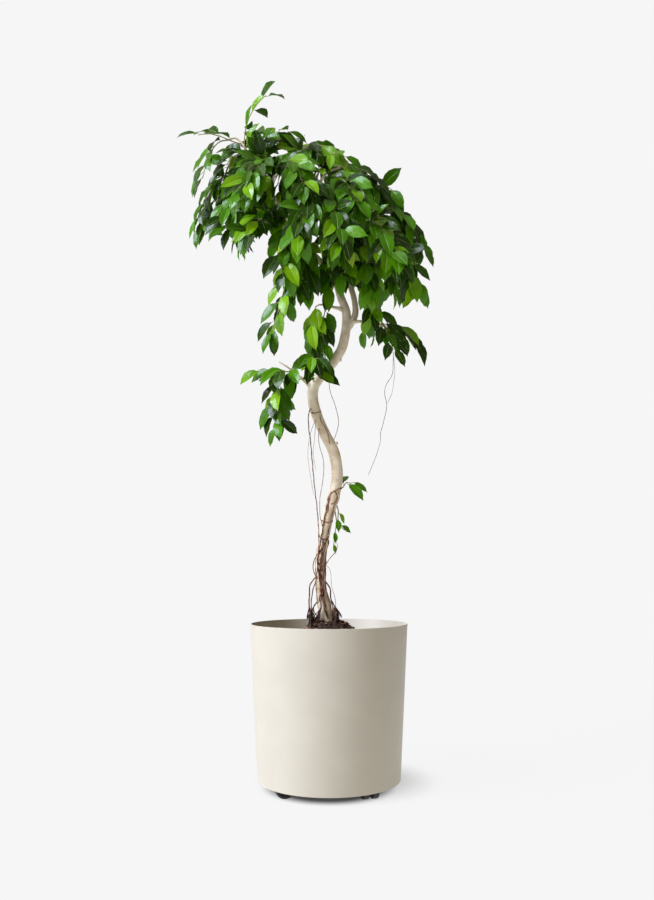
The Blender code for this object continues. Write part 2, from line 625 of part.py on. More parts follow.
def leaf_rings(leaf, margin=0.0):
    """The leaf's rings from the end of its petiole on, and its tip; a margin swells them."""
    thickness = LEAF_THICKNESS + 2 * margin
    rings = [blade_ring(leaf, 0.0, PETIOLE_HALF_WIDTH + margin, thickness)]
    for t, share in LEAF_STATIONS:
        rings.append(blade_ring(leaf, t, leaf["half_width"] * share + margin, thickness))
    return rings, blade_point(leaf, 1.0)[0]


def leaf_hull(leaf, margin):
    """Corners and faces of the swollen leaf, with its petiole, to test against the others."""
    rings, tip = leaf_rings(leaf, margin)
    shift = leaf["node"].lerp(leaf["base"], PETIOLE_FREE_PART) - leaf["base"]
    rings.insert(0, [corner + shift for corner in rings[0]])
    corners = [corner for ring in rings for corner in ring]
    faces = ring_faces(len(rings), 4)[:-1]
    last = len(corners) - 4
    corners.append(tip)
    faces += [(last + step, last + (step + 1) % 4, last + 4) for step in range(4)]
    return corners, faces


def try_leaf(frame, sign, last, habit, chance, spread):
    """One way for a leaf to stand at a node; a wider spread turns it further from its habit."""
    point, tangent, side, back, _ = frame
    hang, scale = habit
    turn, tilt, roll = [chance.uniform(-spread, spread) for _ in range(3)]
    aside = (LAST_ASIDE if last else LEAF_ASIDE) * (1.0 + TURN_CHANCE * turn)
    ahead = tangent * (LAST_ALONG if last else LEAF_ALONG) + side * (sign * aside)
    ahead = (ahead + back * (LEAF_RISE + TILT_CHANCE * tilt)).normalized()
    base = point + ahead * (PETIOLE_LENGTH * scale * chance.uniform(*PETIOLE_REACHES))
    fall = min(max(hang + HANG_CHANCE * tilt, 0.0), MOST_HANG)
    outward = (point - CROWN_AXIS) * Vector((1.0, 1.0, 0.0))
    outward.normalize()
    drift = outward * LEAF_OUTWARD + side * (TURN_CHANCE * turn)
    ahead = (ahead * (1.0 - fall) + Vector((0.0, 0.0, -fall)) + drift).normalized()
    facing = back * FACING_BACK + outward * FACING_OUTWARD + LIGHT + side * (ROLL_CHANCE * roll)
    up = square_to(facing, ahead)
    size = scale * chance.uniform(*LEAF_SIZES) * (LAST_LEAF_SIZE if last else 1.0)
    return {
        "node": point, "base": base, "ahead": ahead, "up": up, "across": ahead.cross(up),
        "length": LEAF_LENGTH * size, "half_width": LEAF_HALF_WIDTH * size,
        "bow": math.radians(chance.uniform(*LEAF_BOWS)),
    }


def plan_leaves(frames, habit, chance, grown):
    """A leaf for each node, right and left in turn, each one clear of all that has grown."""
    leaves = []
    nodes = len(frames) // 2 - 1
    for node in range(nodes):
        sign = 1 if node % 2 else -1
        lower, upper = frames[1 + 2 * node], frames[2 + 2 * node]
        middle = (lower[0].lerp(upper[0], 0.5),) + upper[1:]
        found = None
        for attempt in range(TRIES):
            spread = FIRST_SPREAD + attempt / TRIES
            leaf = try_leaf(middle, sign, node == nodes - 1, habit, chance, spread)
            hull = leaf_hull(leaf, LEAF_CLEARANCE)
            if not grown.meets(*hull):
                found = leaf
                grown.add(*hull)
                break
        leaves.append((node, sign, found))
    return leaves


def join_rings(bm, lower, upper):
    """Triangles between two rings, cut alike on a blade's two faces: edges are even corners."""
    count = len(lower)
    for step in range(count):
        after = (step + 1) % count
        if step % 2 == 0:
            bm.faces.new((lower[step], lower[after], upper[after]))
            bm.faces.new((lower[step], upper[after], upper[step]))
        else:
            bm.faces.new((lower[step], lower[after], upper[step]))
            bm.faces.new((lower[after], upper[after], upper[step]))


def match_ring(corners, ring, ahead):
    """The corners of a twig's face in the order that meets the ring with the least twist."""
    middle = sum((c.co for c in corners), Vector()) / 4
    centre = sum(ring, Vector()) / 4
    normal = (corners[1].co - corners[0].co).cross(corners[2].co - corners[1].co)
    turning = (ring[1] - ring[0]).cross(ring[2] - ring[1])
    if normal.dot(ahead) * turning.dot(ahead) < 0:
        corners = corners[::-1]
    best = None
    for shift in range(4):
        order = corners[shift:] + corners[:shift]
        pairs = zip(order, ring)
        match = sum((a.co - middle).normalized().dot((b - centre).normalized()) for a, b in pairs)
        if best is None or match > best[0]:
            best = (match, order)
    return best[1]


def grow_leaf(bm, corners, leaf):
    """Raise a petiole and its blade from a face of the twig."""
    rings, tip = leaf_rings(leaf)
    order = match_ring(corners, rings[0], (leaf["base"] - leaf["node"]).normalized())
    for ring in rings:
        raised = [bm.verts.new(corner) for corner in ring]
        join_rings(bm, order, raised)
        order = raised
    point = bm.verts.new(tip)
    for step in range(4):
        bm.faces.new((order[step], order[(step + 1) % 4], point))


def make_spray(name, frames, leaves, finish):
    """One leafy twig as one closed body: a three-sided twig with its leaves raised from it."""
    bm = bmesh.new()
    rings = [[bm.verts.new(corner) for corner in twig_ring(frame)] for frame in frames[:-1]]
    bm.faces.new(rings[0])
    by_node = {node: (sign, leaf) for node, sign, leaf in leaves}
    for place, (lower, upper) in enumerate(zip(rings, rings[1:])):
        node = (place - 1) // 2 if place % 2 else None
        sign, leaf = by_node.get(node, (0, None))
        for step, after in ((0, 1), (1, 2), (2, 0)):
            corners = [lower[step], lower[after], upper[after], upper[step]]
            if leaf is not None and step == (2 if sign > 0 else 0):
                grow_leaf(bm, corners, leaf)
            else:
                bm.faces.new(corners[:3])
                bm.faces.new(corners[2:] + corners[:1])
    bud = bm.verts.new(frames[-1][0])
    for step in range(3):
        bm.faces.new((rings[-1][step], rings[-1][(step + 1) % 3], bud))
    return make_object(name, mesh_from(bm, name), finish)


def plan_plant():
    """All twigs first, then the leaves, so that no leaf grows through a twig or a limb."""
    grown = Obstacles()
    for sides, route in LIMBS.values():
        grown.add(*tube_shape(route, sides))
    for route in ROOTS.values():
        grown.add(*tube_shape(route, ROOT_SIDES))
    twigs = {}
    for name, limb, part, middle, end, leaves, hang, scale in SPRAYS:
        frames = twig_frames(*twig_points(limb, part, middle, end, leaves))
        corners = [corner for frame in frames for corner in twig_ring(frame)]
        grown.add(corners, ring_faces(len(frames), 3))
        twigs[name] = (frames, (hang, scale))
    chance = random.Random(LEAF_SEED)
    plan = {}
    for name, (frames, habit) in twigs.items():
        plan[name] = (frames, plan_leaves(frames, habit, chance, grown))
    return plan



def add_cylinder(name, radius, low, high, sides, matrix=Matrix.Identity(4)):
    """A closed cylinder along Z from low to high, then placed by the matrix."""
    bm = bmesh.new()
    middle = Matrix.Translation((0.0, 0.0, (low + high) / 2))
    bmesh.ops.create_cone(bm, cap_ends=True, segments=sides, radius1=radius, radius2=radius,
                          depth=high - low, matrix=matrix @ middle)
    return make_object(name, mesh_from(bm, name), bpy.data.materials[0])


def cut_away(target, tool):
    cut = target.modifiers.new("cut", "BOOLEAN")
    cut.operation = "DIFFERENCE"
    cut.object = tool
    cut.solver = "EXACT"
    apply_modifiers(target)
    bpy.data.objects.remove(tool, do_unlink=True)


def web_mesh():
    """The housing's upright web between the wheels, from the axle's boss up to the neck."""
    outline = list(WEB_BACK_EDGE)
    for angle in BOSS_ANGLES:
        turn = math.radians(angle)
        outline.append((CASTOR_TRAIL + BOSS_RADIUS * math.cos(turn),
                        WHEEL_RADIUS + BOSS_RADIUS * math.sin(turn)))
    outline += WEB_FRONT_EDGE
    bm = bmesh.new()
    face = bm.faces.new([bm.verts.new((x, -WEB_THICKNESS / 2, z)) for x, z in outline])
    grown = bmesh.ops.extrude_face_region(bm, geom=[face])
    moved = [part for part in grown["geom"] if isinstance(part, bmesh.types.BMVert)]
    bmesh.ops.translate(bm, verts=moved, vec=(0.0, WEB_THICKNESS, 0.0))
    return mesh_from(bm, "castor_web")


def make_housing_mesh(finish):
    """Web, neck with its blind bore for the king pin, and the axle through the web."""
    housing = make_object("castor_housing", web_mesh(), finish)
    neck = add_cylinder("neck", NECK_RADIUS, WEB_TOP - NECK_ROOT, NECK_TOP, NECK_SIDES)
    reach = WEB_THICKNESS / 2 + HUB_DEPTH - GAP
    across = Matrix.Rotation(math.pi / 2, 4, "X")
    across = Matrix.Translation((CASTOR_TRAIL, 0.0, WHEEL_RADIUS)) @ across
    axle = add_cylinder("axle", AXLE_RADIUS, -reach, reach, AXLE_SIDES, across)
    join_by_union(housing, [neck, axle])
    bore_bottom = NECK_TOP - PIN_LENGTH - GAP
    bore = add_cylinder("bore", PIN_RADIUS + GAP, bore_bottom, FLOOR_UNDERSIDE, PIN_SIDES)
    cut_away(housing, bore)
    mesh = housing.data
    bpy.data.objects.remove(housing, do_unlink=True)
    return mesh


def make_plate_mesh(finish):
    """Square top plate with its king pin."""
    bm = bmesh.new()
    top = FLOOR_UNDERSIDE - GAP
    bmesh.ops.create_cube(bm, size=1.0)
    bmesh.ops.scale(bm, verts=bm.verts, vec=(PLATE_SIDE, PLATE_SIDE, PLATE_THICKNESS))
    bmesh.ops.translate(bm, verts=bm.verts, vec=(0.0, 0.0, top - PLATE_THICKNESS / 2))
    plate = make_object("castor_plate", mesh_from(bm, "castor_plate"), finish)
    pin_top = top - PLATE_THICKNESS / 2
    pin = add_cylinder("pin", PIN_RADIUS, NECK_TOP - PIN_LENGTH, pin_top, PIN_SIDES)
    join_by_union(plate, [pin])
    mesh = plate.data
    bpy.data.objects.remove(plate, do_unlink=True)
    return mesh


def make_wheel_mesh():
    """Wheel turned round its axle's line, with a blind bore from its inner side.

    It has flat treads at its true radius, so that one lies flat on the floor.
    """
    tread = WHEEL_RADIUS / math.cos(math.pi / WHEEL_SIDES)
    profile = (
        (0.0, WHEEL_WIDTH),
        (tread - 2 * WHEEL_EDGE, WHEEL_WIDTH),
        (tread, WHEEL_WIDTH - WHEEL_EDGE),
        (tread, 0.0),
        (BORE_RADIUS, 0.0),
        (BORE_RADIUS, HUB_DEPTH),
        (0.0, HUB_DEPTH),
    )
    return turned(profile, WHEEL_SIDES, "castor_wheel", start=math.pi / WHEEL_SIDES)


def make_castors(rubber, plastic, steel):
    """Four castors; each swivels on its king pin, and each wheel spins on the axle."""
    plate_mesh = make_plate_mesh(steel)
    housing_mesh = make_housing_mesh(plastic)
    wheel_mesh = make_wheel_mesh()
    for corner, place in CASTOR_PLACES.items():
        angle = math.radians(place)
        spot = Vector((CASTOR_CIRCLE * math.cos(angle), CASTOR_CIRCLE * math.sin(angle), 0.0))
        pivot = PLANTER_AXIS + spot
        turn = math.radians(CASTOR_TURNS[corner])
        plate = make_object(f"castor_plate_{corner}", plate_mesh, steel, pivot)
        plate.rotation_euler.z = angle
        swivel = bpy.data.objects.new(f"castor_swivel_{corner}", None)
        bpy.context.scene.collection.objects.link(swivel)
        swivel.location = pivot
        swivel.rotation_euler.z = turn
        housing = make_object(f"castor_housing_{corner}", housing_mesh, plastic)
        housing.parent = swivel
        for side, sign in (("left", 1), ("right", -1)):
            wheel = make_object(f"castor_wheel_{corner}_{side}", wheel_mesh, rubber)
            wheel.parent = swivel
            wheel.location = (CASTOR_TRAIL, sign * (WEB_THICKNESS / 2 + GAP), WHEEL_RADIUS)
            wheel.rotation_euler.x = -sign * math.pi / 2


def main():
    clear_scene()
    powder_coat = material("cream_powder_coat", (0.74, 0.70, 0.62), 0.45)
    bark_mulch = material("bark_soil", (0.05, 0.03, 0.02), 0.95)
    bark = material("pale_bark", (0.62, 0.52, 0.40), 0.7)
    leaf_green = material("leaf_green", (0.06, 0.18, 0.015), 0.4)
    rubber = material("black_tread", (0.02, 0.02, 0.02), 0.6)
    plastic = material("black_nylon", (0.03, 0.03, 0.03), 0.45)
    steel = material("zinc_steel", (0.5, 0.5, 0.5), 0.4, 1.0)
    make_planter(powder_coat)
    make_castors(rubber, plastic, steel)
    make_soil(bark_mulch)
    make_trunk(bark)
    for name, (frames, leaves) in plan_plant().items():
        make_spray(name, frames, leaves, leaf_green)


main()
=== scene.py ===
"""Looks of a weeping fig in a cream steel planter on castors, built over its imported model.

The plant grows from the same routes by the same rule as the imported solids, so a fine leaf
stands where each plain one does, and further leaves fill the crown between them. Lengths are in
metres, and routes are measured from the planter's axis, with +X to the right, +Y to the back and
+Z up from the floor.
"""

import bisect
import json
import math
import random

import bpy
import numpy as np
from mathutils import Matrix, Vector
from mathutils.bvhtree import BVHTree


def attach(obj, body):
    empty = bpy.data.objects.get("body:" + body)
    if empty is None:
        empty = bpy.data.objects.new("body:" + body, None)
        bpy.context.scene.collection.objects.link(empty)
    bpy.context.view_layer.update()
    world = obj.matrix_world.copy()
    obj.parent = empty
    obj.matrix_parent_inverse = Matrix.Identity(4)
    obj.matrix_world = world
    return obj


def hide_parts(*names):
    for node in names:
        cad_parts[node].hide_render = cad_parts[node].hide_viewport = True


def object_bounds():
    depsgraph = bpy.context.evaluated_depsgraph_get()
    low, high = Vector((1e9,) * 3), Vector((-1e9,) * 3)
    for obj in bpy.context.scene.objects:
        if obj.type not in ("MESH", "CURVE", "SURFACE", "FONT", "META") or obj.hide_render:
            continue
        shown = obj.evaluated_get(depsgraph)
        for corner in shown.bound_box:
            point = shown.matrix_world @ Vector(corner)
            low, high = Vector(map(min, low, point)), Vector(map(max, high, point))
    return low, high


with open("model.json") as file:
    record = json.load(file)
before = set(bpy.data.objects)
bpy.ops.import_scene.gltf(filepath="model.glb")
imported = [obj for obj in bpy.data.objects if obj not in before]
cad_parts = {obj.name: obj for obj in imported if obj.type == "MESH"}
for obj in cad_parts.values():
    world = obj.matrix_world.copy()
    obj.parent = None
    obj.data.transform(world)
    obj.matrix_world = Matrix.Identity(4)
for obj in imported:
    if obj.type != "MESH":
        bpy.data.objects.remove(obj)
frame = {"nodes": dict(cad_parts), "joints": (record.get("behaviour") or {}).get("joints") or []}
CAD_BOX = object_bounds()

# The planter's axis stands off the origin, which lies under the middle of the whole plant
PLANTER_AXIS = Vector((0.054, -0.012, 0.0))
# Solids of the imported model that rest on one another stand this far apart
GAP = 0.0003

# Planter: a rolled and tapered sheet steel shell with a welded floor, both powder coated
RIM_RADIUS = 0.200
FOOT_RADIUS = 0.183
SHELL_BOTTOM = 0.022
SHELL_TOP = 0.418
WALL = 0.0025
FLOOR_UNDERSIDE = 0.0623
FLOOR_THICKNESS = 0.003
LIP_ROUNDING = WALL * 0.47
WELD_ROUNDING = 0.003
PLANTER_SIDES = 256

# A rounded corner has this many points; a smooth route is sampled this often between its own
ARC_POINTS = 5
ROUTE_STEPS = 24

# Soil: filled to 40 mm under the rim, with the root ball's mound in the middle
SOIL_EDGE_TOP = 0.378
SOIL_MOUND = ((0.130, 0.380), (0.092, 0.385), (0.064, 0.403), (0.046, 0.418), (0.030, 0.424))
SOIL_SIDES = 160
SOIL_RINGS = 72
SOIL_EDGE_DROP = 0.004
SOIL_LAST_RADIUS = 0.004
# Lumps in the compost: each set's size and height, and how far the soil sinks to allow for them
SOIL_LUMPS = ((0.060, 0.0014), (0.026, 0.0016), (0.013, 0.0018), (0.007, 0.0012))
SOIL_SINK = 0.0022
SOIL_SEED = 3
# Bark chips: their field's inner radius and breadth, how it thins outwards, the radius past
# which they are smaller and by how much, their sizes, and their thicknesses and breadths as
# shares of their size; then how far chance slopes them, tips them and moves their corners
CHIP_COUNT = 1300
CHIP_SEED = 5
CHIP_FIELD = (0.025, 0.161)
CHIP_THINNING = 0.8
WALL_CHIPS = (0.170, 0.6)
CHIP_SIZES = (0.0028, 0.0090)
CHIP_THICKNESSES = (0.12, 0.34)
CHIP_BREADTHS = (0.35, 0.85)
CHIP_SLOPES = (-0.6, 0.6)
CHIP_TIPPING = 0.35
CHIP_CORNERS = (0.7, 1.15)
CHIP_LIFT = 0.0012
# A chip's four rings: each one's width and level, as shares of the chip's size and thickness
CHIP_WIDTHS = (0.72, 1.0, 0.95, 0.62)
CHIP_LEVELS = (-1.0, -0.55, 0.55, 1.0)

# Castors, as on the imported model; a wheel's dished face lies between its hub and its tread
CASTOR_CORNERS = ("front_right", "front_left", "back_left", "back_right")
WHEEL_RADIUS = 0.025
WHEEL_SIDES = 72
WHEEL_WIDTH = 0.0145
BORE_RADIUS = 0.0043
BORE_DEPTH = 0.0125
HUB_RADIUS = 0.0088
HUB_INSET = 0.0008
DISH_RADII = (0.0094, 0.0172)
DISH_DEPTH = 0.0024
TREAD_INNER_RADIUS = 0.0190

# Twigs: three-sided, they leave their limb squarely or run on from its tip, on a parabola
TWIG_RADIUS = 0.0018
TWIG_TIP_RADIUS = 0.0010
TWIG_START = 0.006
TWIG_STEPS = 48
TWIG_BACK = Vector((0.1, -0.2, 1.0))
FIRST_LEAF = 0.8
NODE_LENGTH = 0.0032
BUD_LENGTH = 0.007

# Leaves: ovate blades folded along the midrib, with a drip tip, on slim petioles
LEAF_SEED = 21
LEAF_LENGTH = 0.065
LEAF_HALF_WIDTH = 0.0162
LEAF_SIZES = (0.84, 1.1)
LAST_LEAF_SIZE = 0.85
LEAF_THICKNESS = 0.0013
LEAF_FOLD = math.radians(20.0)
LEAF_BOWS = (18.0, 48.0)
LEAF_STATIONS = ((0.28, 0.98), (0.64, 0.80))
PETIOLE_LENGTH = 0.014
PETIOLE_REACHES = (0.85, 1.25)
PETIOLE_HALF_WIDTH = 0.0011

# How leaves stand: shares of each direction, how far chance may turn them from it, and the
# share of that which each try in turn may use
LEAF_ALONG = 0.62
LEAF_ASIDE = 0.8
LAST_ALONG = 1.0
LAST_ASIDE = 0.28
LEAF_RISE = 0.25
LEAF_OUTWARD = 0.25
FACING_BACK = 0.4
FACING_OUTWARD = 0.45
LIGHT = Vector((-0.30, -0.90, 0.45))
CROWN_AXIS = PLANTER_AXIS + Vector((-0.058, 0.010, 0.0))
TURN_CHANCE = 0.3
TILT_CHANCE = 0.6
ROLL_CHANCE = 0.5
HANG_CHANCE = 0.3
MOST_HANG = 0.9
LEAF_SPREADS = [0.4 + attempt / 40 for attempt in range(40)]
LEAF_CLEARANCE = 0.0007
PETIOLE_FREE_PART = 0.3

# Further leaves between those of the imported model, which does without them to stay light
FURTHER_SEED = 4
FURTHER_SIZE = 0.92
FURTHER_SPREADS = [1.5] * 10
FURTHER_TURNS = (250.0, 170.0, 10.0, 80.0, 310.0)
FURTHER_TURN_CHANCE = 15.0
# Loose twigs get a further leaf at one turn only, and those that stand free in the photo get none
LOOSE_TWIGS = ("low_left_high", "low_left_fall", "low_left_front", "low_right_outer", "mid_left",
               "low_right_inner", "long_left_fall", "fine_fork_left", "fine_low_right")
BARE_TWIGS = ("fine_foot_sprig", "crown_tip", "far_left_top", "left_arch", "trunk_sprig",
              "trunk_sprig_low")
# Further twigs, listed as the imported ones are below
MORE_SPRAYS = (
    ("fine_top_front", "front_top_limb", 0.35, (-0.165, -0.06, 1.575), (-0.195, -0.09, 1.5), 7, 0.3, 0.9),
    ("fine_top_fall", "front_top_limb", 0.45, (-0.15, -0.055, 1.575), (-0.158, -0.085, 1.49), 8, 0.5, 0.9),
    ("fine_left_fall", "left_limb", 0.55, (-0.200, -0.010, 1.560), (-0.215, -0.050, 1.480), 8, 0.5, 0.9),
    ("fine_top_arch", "second_stem", 0.9, (0.01, -0.04, 1.600), (0.045, -0.07, 1.565), 6, 0.2, 0.85),
    ("fine_centre", "centre_front_limb", 0.35, (0.0, -0.06, 1.46), (0.0, -0.09, 1.37), 7, 0.4, 0.9),
    ("fine_low_right", "low_right_limb", 0.8, (0.137, -0.06, 1.16), (0.155, -0.09, 1.1), 7, 0.4, 0.9),
    ("fine_right_fall", "right_front_limb", 0.75, (0.087, -0.06, 1.3), (0.105, -0.06, 1.2), 8, 0.5, 0.85),
    ("fine_fork_left", "mid_left_limb", 0.55, (-0.014, -0.035, 1.19), (-0.014, -0.05, 1.1), 6, 0.7, 0.75),
    ("fine_foot_sprig", "stem", 0.445, (0.017, -0.008, 0.66), (0.012, -0.014, 0.625), 3, 0.6, 0.45),
)
# The sprigs low on the trunk have young leaves, so their tones start higher than the crown's
YOUNG_SPRIGS = ("trunk_sprig", "trunk_sprig_low", "fine_foot_sprig")
YOUNG_TONE = 0.50

# The crown's outline from the front, as (x, z) points where the planter's axis stands
CROWN_OUTLINE = np.array((
    (-0.327, 1.618), (-0.308, 1.643), (-0.274, 1.652), (-0.252, 1.668), (-0.221, 1.68),
    (-0.184, 1.687), (-0.134, 1.694), (-0.097, 1.687), (-0.06, 1.662), (-0.023, 1.652),
    (0.009, 1.625), (0.04, 1.597), (0.083, 1.592), (0.111, 1.569), (0.151, 1.556), (0.176, 1.538),
    (0.189, 1.488), (0.214, 1.444), (0.257, 1.388), (0.26, 1.357), (0.232, 1.345), (0.229, 1.308),
    (0.273, 1.252), (0.245, 1.208), (0.214, 1.239), (0.189, 1.221), (0.179, 1.202), (0.204, 1.177),
    (0.248, 1.096), (0.204, 1.084), (0.164, 1.112), (0.133, 1.118), (0.089, 1.115), (0.08, 1.165),
    (0.071, 1.202), (0.074, 1.239), (0.058, 1.289), (0.021, 1.301), (0.021, 1.165), (0.009, 1.1),
    (0.033, 1.034), (-0.016, 1.022), (-0.041, 1.041), (-0.06, 1.01), (-0.078, 0.864),
    (-0.11, 0.916), (-0.128, 0.876), (-0.175, 0.888), (-0.19, 0.938), (-0.159, 1.01),
    (-0.178, 1.05), (-0.206, 1.053), (-0.159, 1.078), (-0.153, 1.112), (-0.169, 1.159),
    (-0.162, 1.23), (-0.128, 1.295), (-0.141, 1.401), (-0.159, 1.432), (-0.193, 1.379),
    (-0.218, 1.342), (-0.249, 1.392), (-0.287, 1.42), (-0.324, 1.379), (-0.346, 1.376),
    (-0.355, 1.407), (-0.336, 1.488), (-0.346, 1.531), (-0.358, 1.553), (-0.327, 1.581),
))

# Fine leaves: eight corners a ring, at s across the blade and on its upper (1) or lower (-1) face
BLADE_ACROSS = np.array((-1.0, -0.5, 0.0, 0.5, 1.0, 0.5, 0.0, -0.5))
BLADE_SIDE = np.array((0.0, 1.0, 1.0, 1.0, 0.0, -1.0, -1.0, -1.0))
BLADE_STATIONS = np.array((0.03, 0.14, 0.32, 0.54, 0.76, 0.91))
PETIOLE_STATIONS = (0.0, 0.55)
PETIOLE_RADIUS = 0.0006
PETIOLE_BEND = 0.45
BLADE_THICKNESS = 0.0006
BLADE_FOLDS = (0.10, 0.34)
EDGE_WAVE = 0.0011
EDGE_WAVES = (1.6, 2.6)
EDGE_SHIFT = 1.3
LEAST_HALF_WIDTH = 0.0007
DRIP_TIP = 0.006
TONE_SEED = 9
TONE_POWER = 1.35

# Fine twigs: round, a little slimmer than the three-sided ones, pointed, and set into their
# limb; how woody they look at the foot and at the tip
TWIG_SIDES = 8
TWIG_SLIMNESS = 0.85
TWIG_POINT = 0.0003
TWIG_REACH_IN = 0.002
TWIG_WOOD = (1.0, 0.62)

# Fine limbs: sides of their tubes, steps along them, and how far the foot of a limb or a stub
# swells, in radii
STEM_SIDES = 40
SECOND_STEM_SIDES = 28
LIMB_SIDES = 16
STEM_STEP = 0.0015
LIMB_STEP = 0.002
LIMB_COLLAR = 0.9
STUB_COLLAR = 0.35
# Flutes: each set's height as a share of the radius, its waves round it, its radians a metre
FLUTES = ((0.020, 2, 21.0), (0.014, 3, -47.0), (0.012, 0, 95.0))
# Leaf scars: the first one's place, their spacing and wander, their length and share of the radius
FIRST_SCAR = 0.02
SCAR_SPACING = 0.045
SCAR_WANDER = 0.012
SCAR_LENGTH = 0.0012
SCAR_HEIGHT = 0.03

# Roots that wrap round the stem: heights from the floor, angles round it in degrees, radius;
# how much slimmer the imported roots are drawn, and for every root its steps, how knotty and
# wavering it is, over how many rings its taper gains a radius, and its tips' share of one
WRAPS = (
    ((0.962, 0.956, 0.955, 0.958, 0.962), (-185, -140, -95, -45, 0), 0.0012),
    ((0.950, 0.935, 0.915, 0.893, 0.875), (-60, -75, -55, -70, -100), 0.0009),
    ((0.764, 0.762, 0.758, 0.750, 0.738, 0.722, 0.700), (20, -30, -75, -120, -140, -120, -100), 0.0015),
    ((0.756, 0.745, 0.734, 0.726, 0.722), (-95, -60, -40, -65, -100), 0.0011),
    ((0.684, 0.679, 0.676, 0.678, 0.684), (-190, -130, -85, -35, 20), 0.0012),
    ((0.655, 0.642, 0.634, 0.632, 0.628, 0.612, 0.596), (-190, -150, -105, -60, -20, 25, 60), 0.0016),
    ((0.640, 0.622, 0.603, 0.583, 0.566, 0.549), (-30, -70, -110, -140, -100, -60), 0.0014),
    ((0.630, 0.590, 0.545, 0.500, 0.460, 0.430), (-95, -85, -92, -80, -88, -84), 0.0022),
    ((0.560, 0.540, 0.522, 0.507, 0.489, 0.470), (-120, -80, -45, -70, -110, -140), 0.0013),
)
ROOT_SLIMNESS = 0.82
ROOT_STEP = 0.0025
HAIR_STEP = 0.004
ROOT_KNOTS = 0.14
ROOT_WAVER = 0.35
ROOT_TAPER = 3.0
ROOT_TIP = 0.3

# Thin strands that wind down the lower stem: where they start and end, their points, how far one
# winds from point to point in degrees, their radii, how far from the stem's middle, as it is at a
# height, they reach the soil, and how deep they go
STRAND_COUNT = 12
STRAND_SEED = 8
STRAND_TOPS = (0.56, 0.67)
STRAND_END = 0.445
STRAND_POINTS = 9
STRAND_WINDING = 16.0
STRAND_RADII = (0.0007, 0.0015)
STRAND_REACHES = (0.030, 0.052)
STRAND_FOOT = 0.425
STRAND_DEPTH = 0.003

# Loose hair roots: (x, y, z, radius) points
HAIR_ROOTS = (
    ((0.017, -0.018, 0.764, 0.0008), (0.026, -0.026, 0.744, 0.0007), (0.022, -0.028, 0.724, 0.0006),
     (0.013, -0.027, 0.731, 0.0005)),
    ((-0.036, -0.007, 0.936, 0.0006), (-0.047, -0.014, 0.903, 0.0005), (-0.054, -0.017, 0.850, 0.0004),
     (-0.046, -0.019, 0.786, 0.0004), (-0.039, -0.020, 0.744, 0.0004)),
    ((0.161, -0.038, 1.103, 0.0006), (0.165, -0.040, 1.060, 0.0005), (0.163, -0.040, 1.030, 0.0005),
     (0.158, -0.040, 1.000, 0.0005), (0.147, -0.040, 0.973, 0.0006)),
    ((0.013, -0.013, 0.633, 0.0006), (0.021, -0.017, 0.619, 0.0006), (0.016, -0.019, 0.600, 0.0008),
     (0.001, -0.017, 0.583, 0.0010), (-0.013, -0.006, 0.562, 0.0011)),
    ((-0.010, -0.004, 0.572, 0.0005), (0.003, -0.016, 0.552, 0.0005), (0.007, -0.019, 0.512, 0.0005),
     (0.016, -0.020, 0.476, 0.0007), (0.018, -0.022, 0.415, 0.0008)),
    ((-0.026, -0.007, 0.604, 0.0011), (-0.038, -0.013, 0.577, 0.0012), (-0.040, -0.014, 0.553, 0.0011),
     (-0.029, -0.008, 0.530, 0.0010)),
    ((-0.034, -0.010, 0.940, 0.0006), (-0.036, -0.019, 0.897, 0.0005), (-0.040, -0.021, 0.850, 0.0004),
     (-0.033, -0.020, 0.806, 0.0004)),
)

# Tufts of fine roots at the foot: the roots they leave, their middle (x, y) on the soil, spread,
# heights of their starts, and count; then the height of their ends, how far chance scatters
# these in the spread, the points' shares of the way, how far each one strays, and the radii
TUFTS = (
    (("arch_root_left", "hanging_root_left", "foot_root_left", "clinging_root_left"),
     (-0.040, -0.016), (0.008, 0.014), (0.434, 0.464), 54),
    (("arch_root_right", "clinging_root_right"), (0.014, -0.014), (0.005, 0.012), (0.434, 0.464), 40),
    (("foot_root_left", "foot_root_back"), (-0.026, 0.022), (0.012, 0.008), (0.432, 0.456), 16),
)
TUFT_END = 0.398
TUFT_SCATTER = 0.8
TUFT_SHARES = (0.0, 0.35, 0.65, 0.85, 1.0)
TUFT_WAVER = 0.0014
TUFT_RADII = (0.0006, 0.0013)

# The photograph's view: lens and sensor in millimetres, shift as a share of the longer side
LENS = 32.0
SENSOR = 36.0
CAMERA_PLACE = (0.054, -2.062, 0.556)
CAMERA_SHIFT = (-0.0023, 0.1327)

# Light: the surroundings' bright side and how much they give away from it and towards it, what
# the camera sees of them, and the key light's strength, spread, height and turn from the camera
BRIGHT_SIDE = (-0.38, -0.14, 0.91)
SURROUND_LIGHTS = (0.0, 0.50)
SURROUND_COLOR = "FFF4DC"
KEY_COLOR = "E2EAFF"
BACKGROUND_LIGHT = 0.922
KEY_STRENGTH = 4.85
KEY_SPREAD = math.radians(32.0)
KEY_HEIGHT = math.radians(38.0)
KEY_TURN = math.radians(-66.0)

# Floor: its own glow grows between two radii under the skirt, so that the shade under it is painted,
# and between two more, far out, it turns into the background's light
FLOOR_RADII = (0.05, 14.0, 80)
FLOOR_GLOW = 0.894
FLOOR_GLOW_RADII = (0.124, 0.180)
FAR_FLOOR_RADII = (1.5, 5.0)
FLOOR_SIDES = 96
# The glow's share under the skirt, which paints the shade there
UNDER_SKIRT_LIGHT = 0.08
# A painted soft shadow of the foot, where the floor's glow dims, falls to the right and back:
# its middle off the axis, its radii, its light
SHADOW_MIDDLE = (0.050, 0.070, 0.0)
SHADOW_RADII = (0.080, 0.260)
SHADOW_LIGHT = 0.55
WHITE = (1.0, 1.0, 1.0, 1.0)

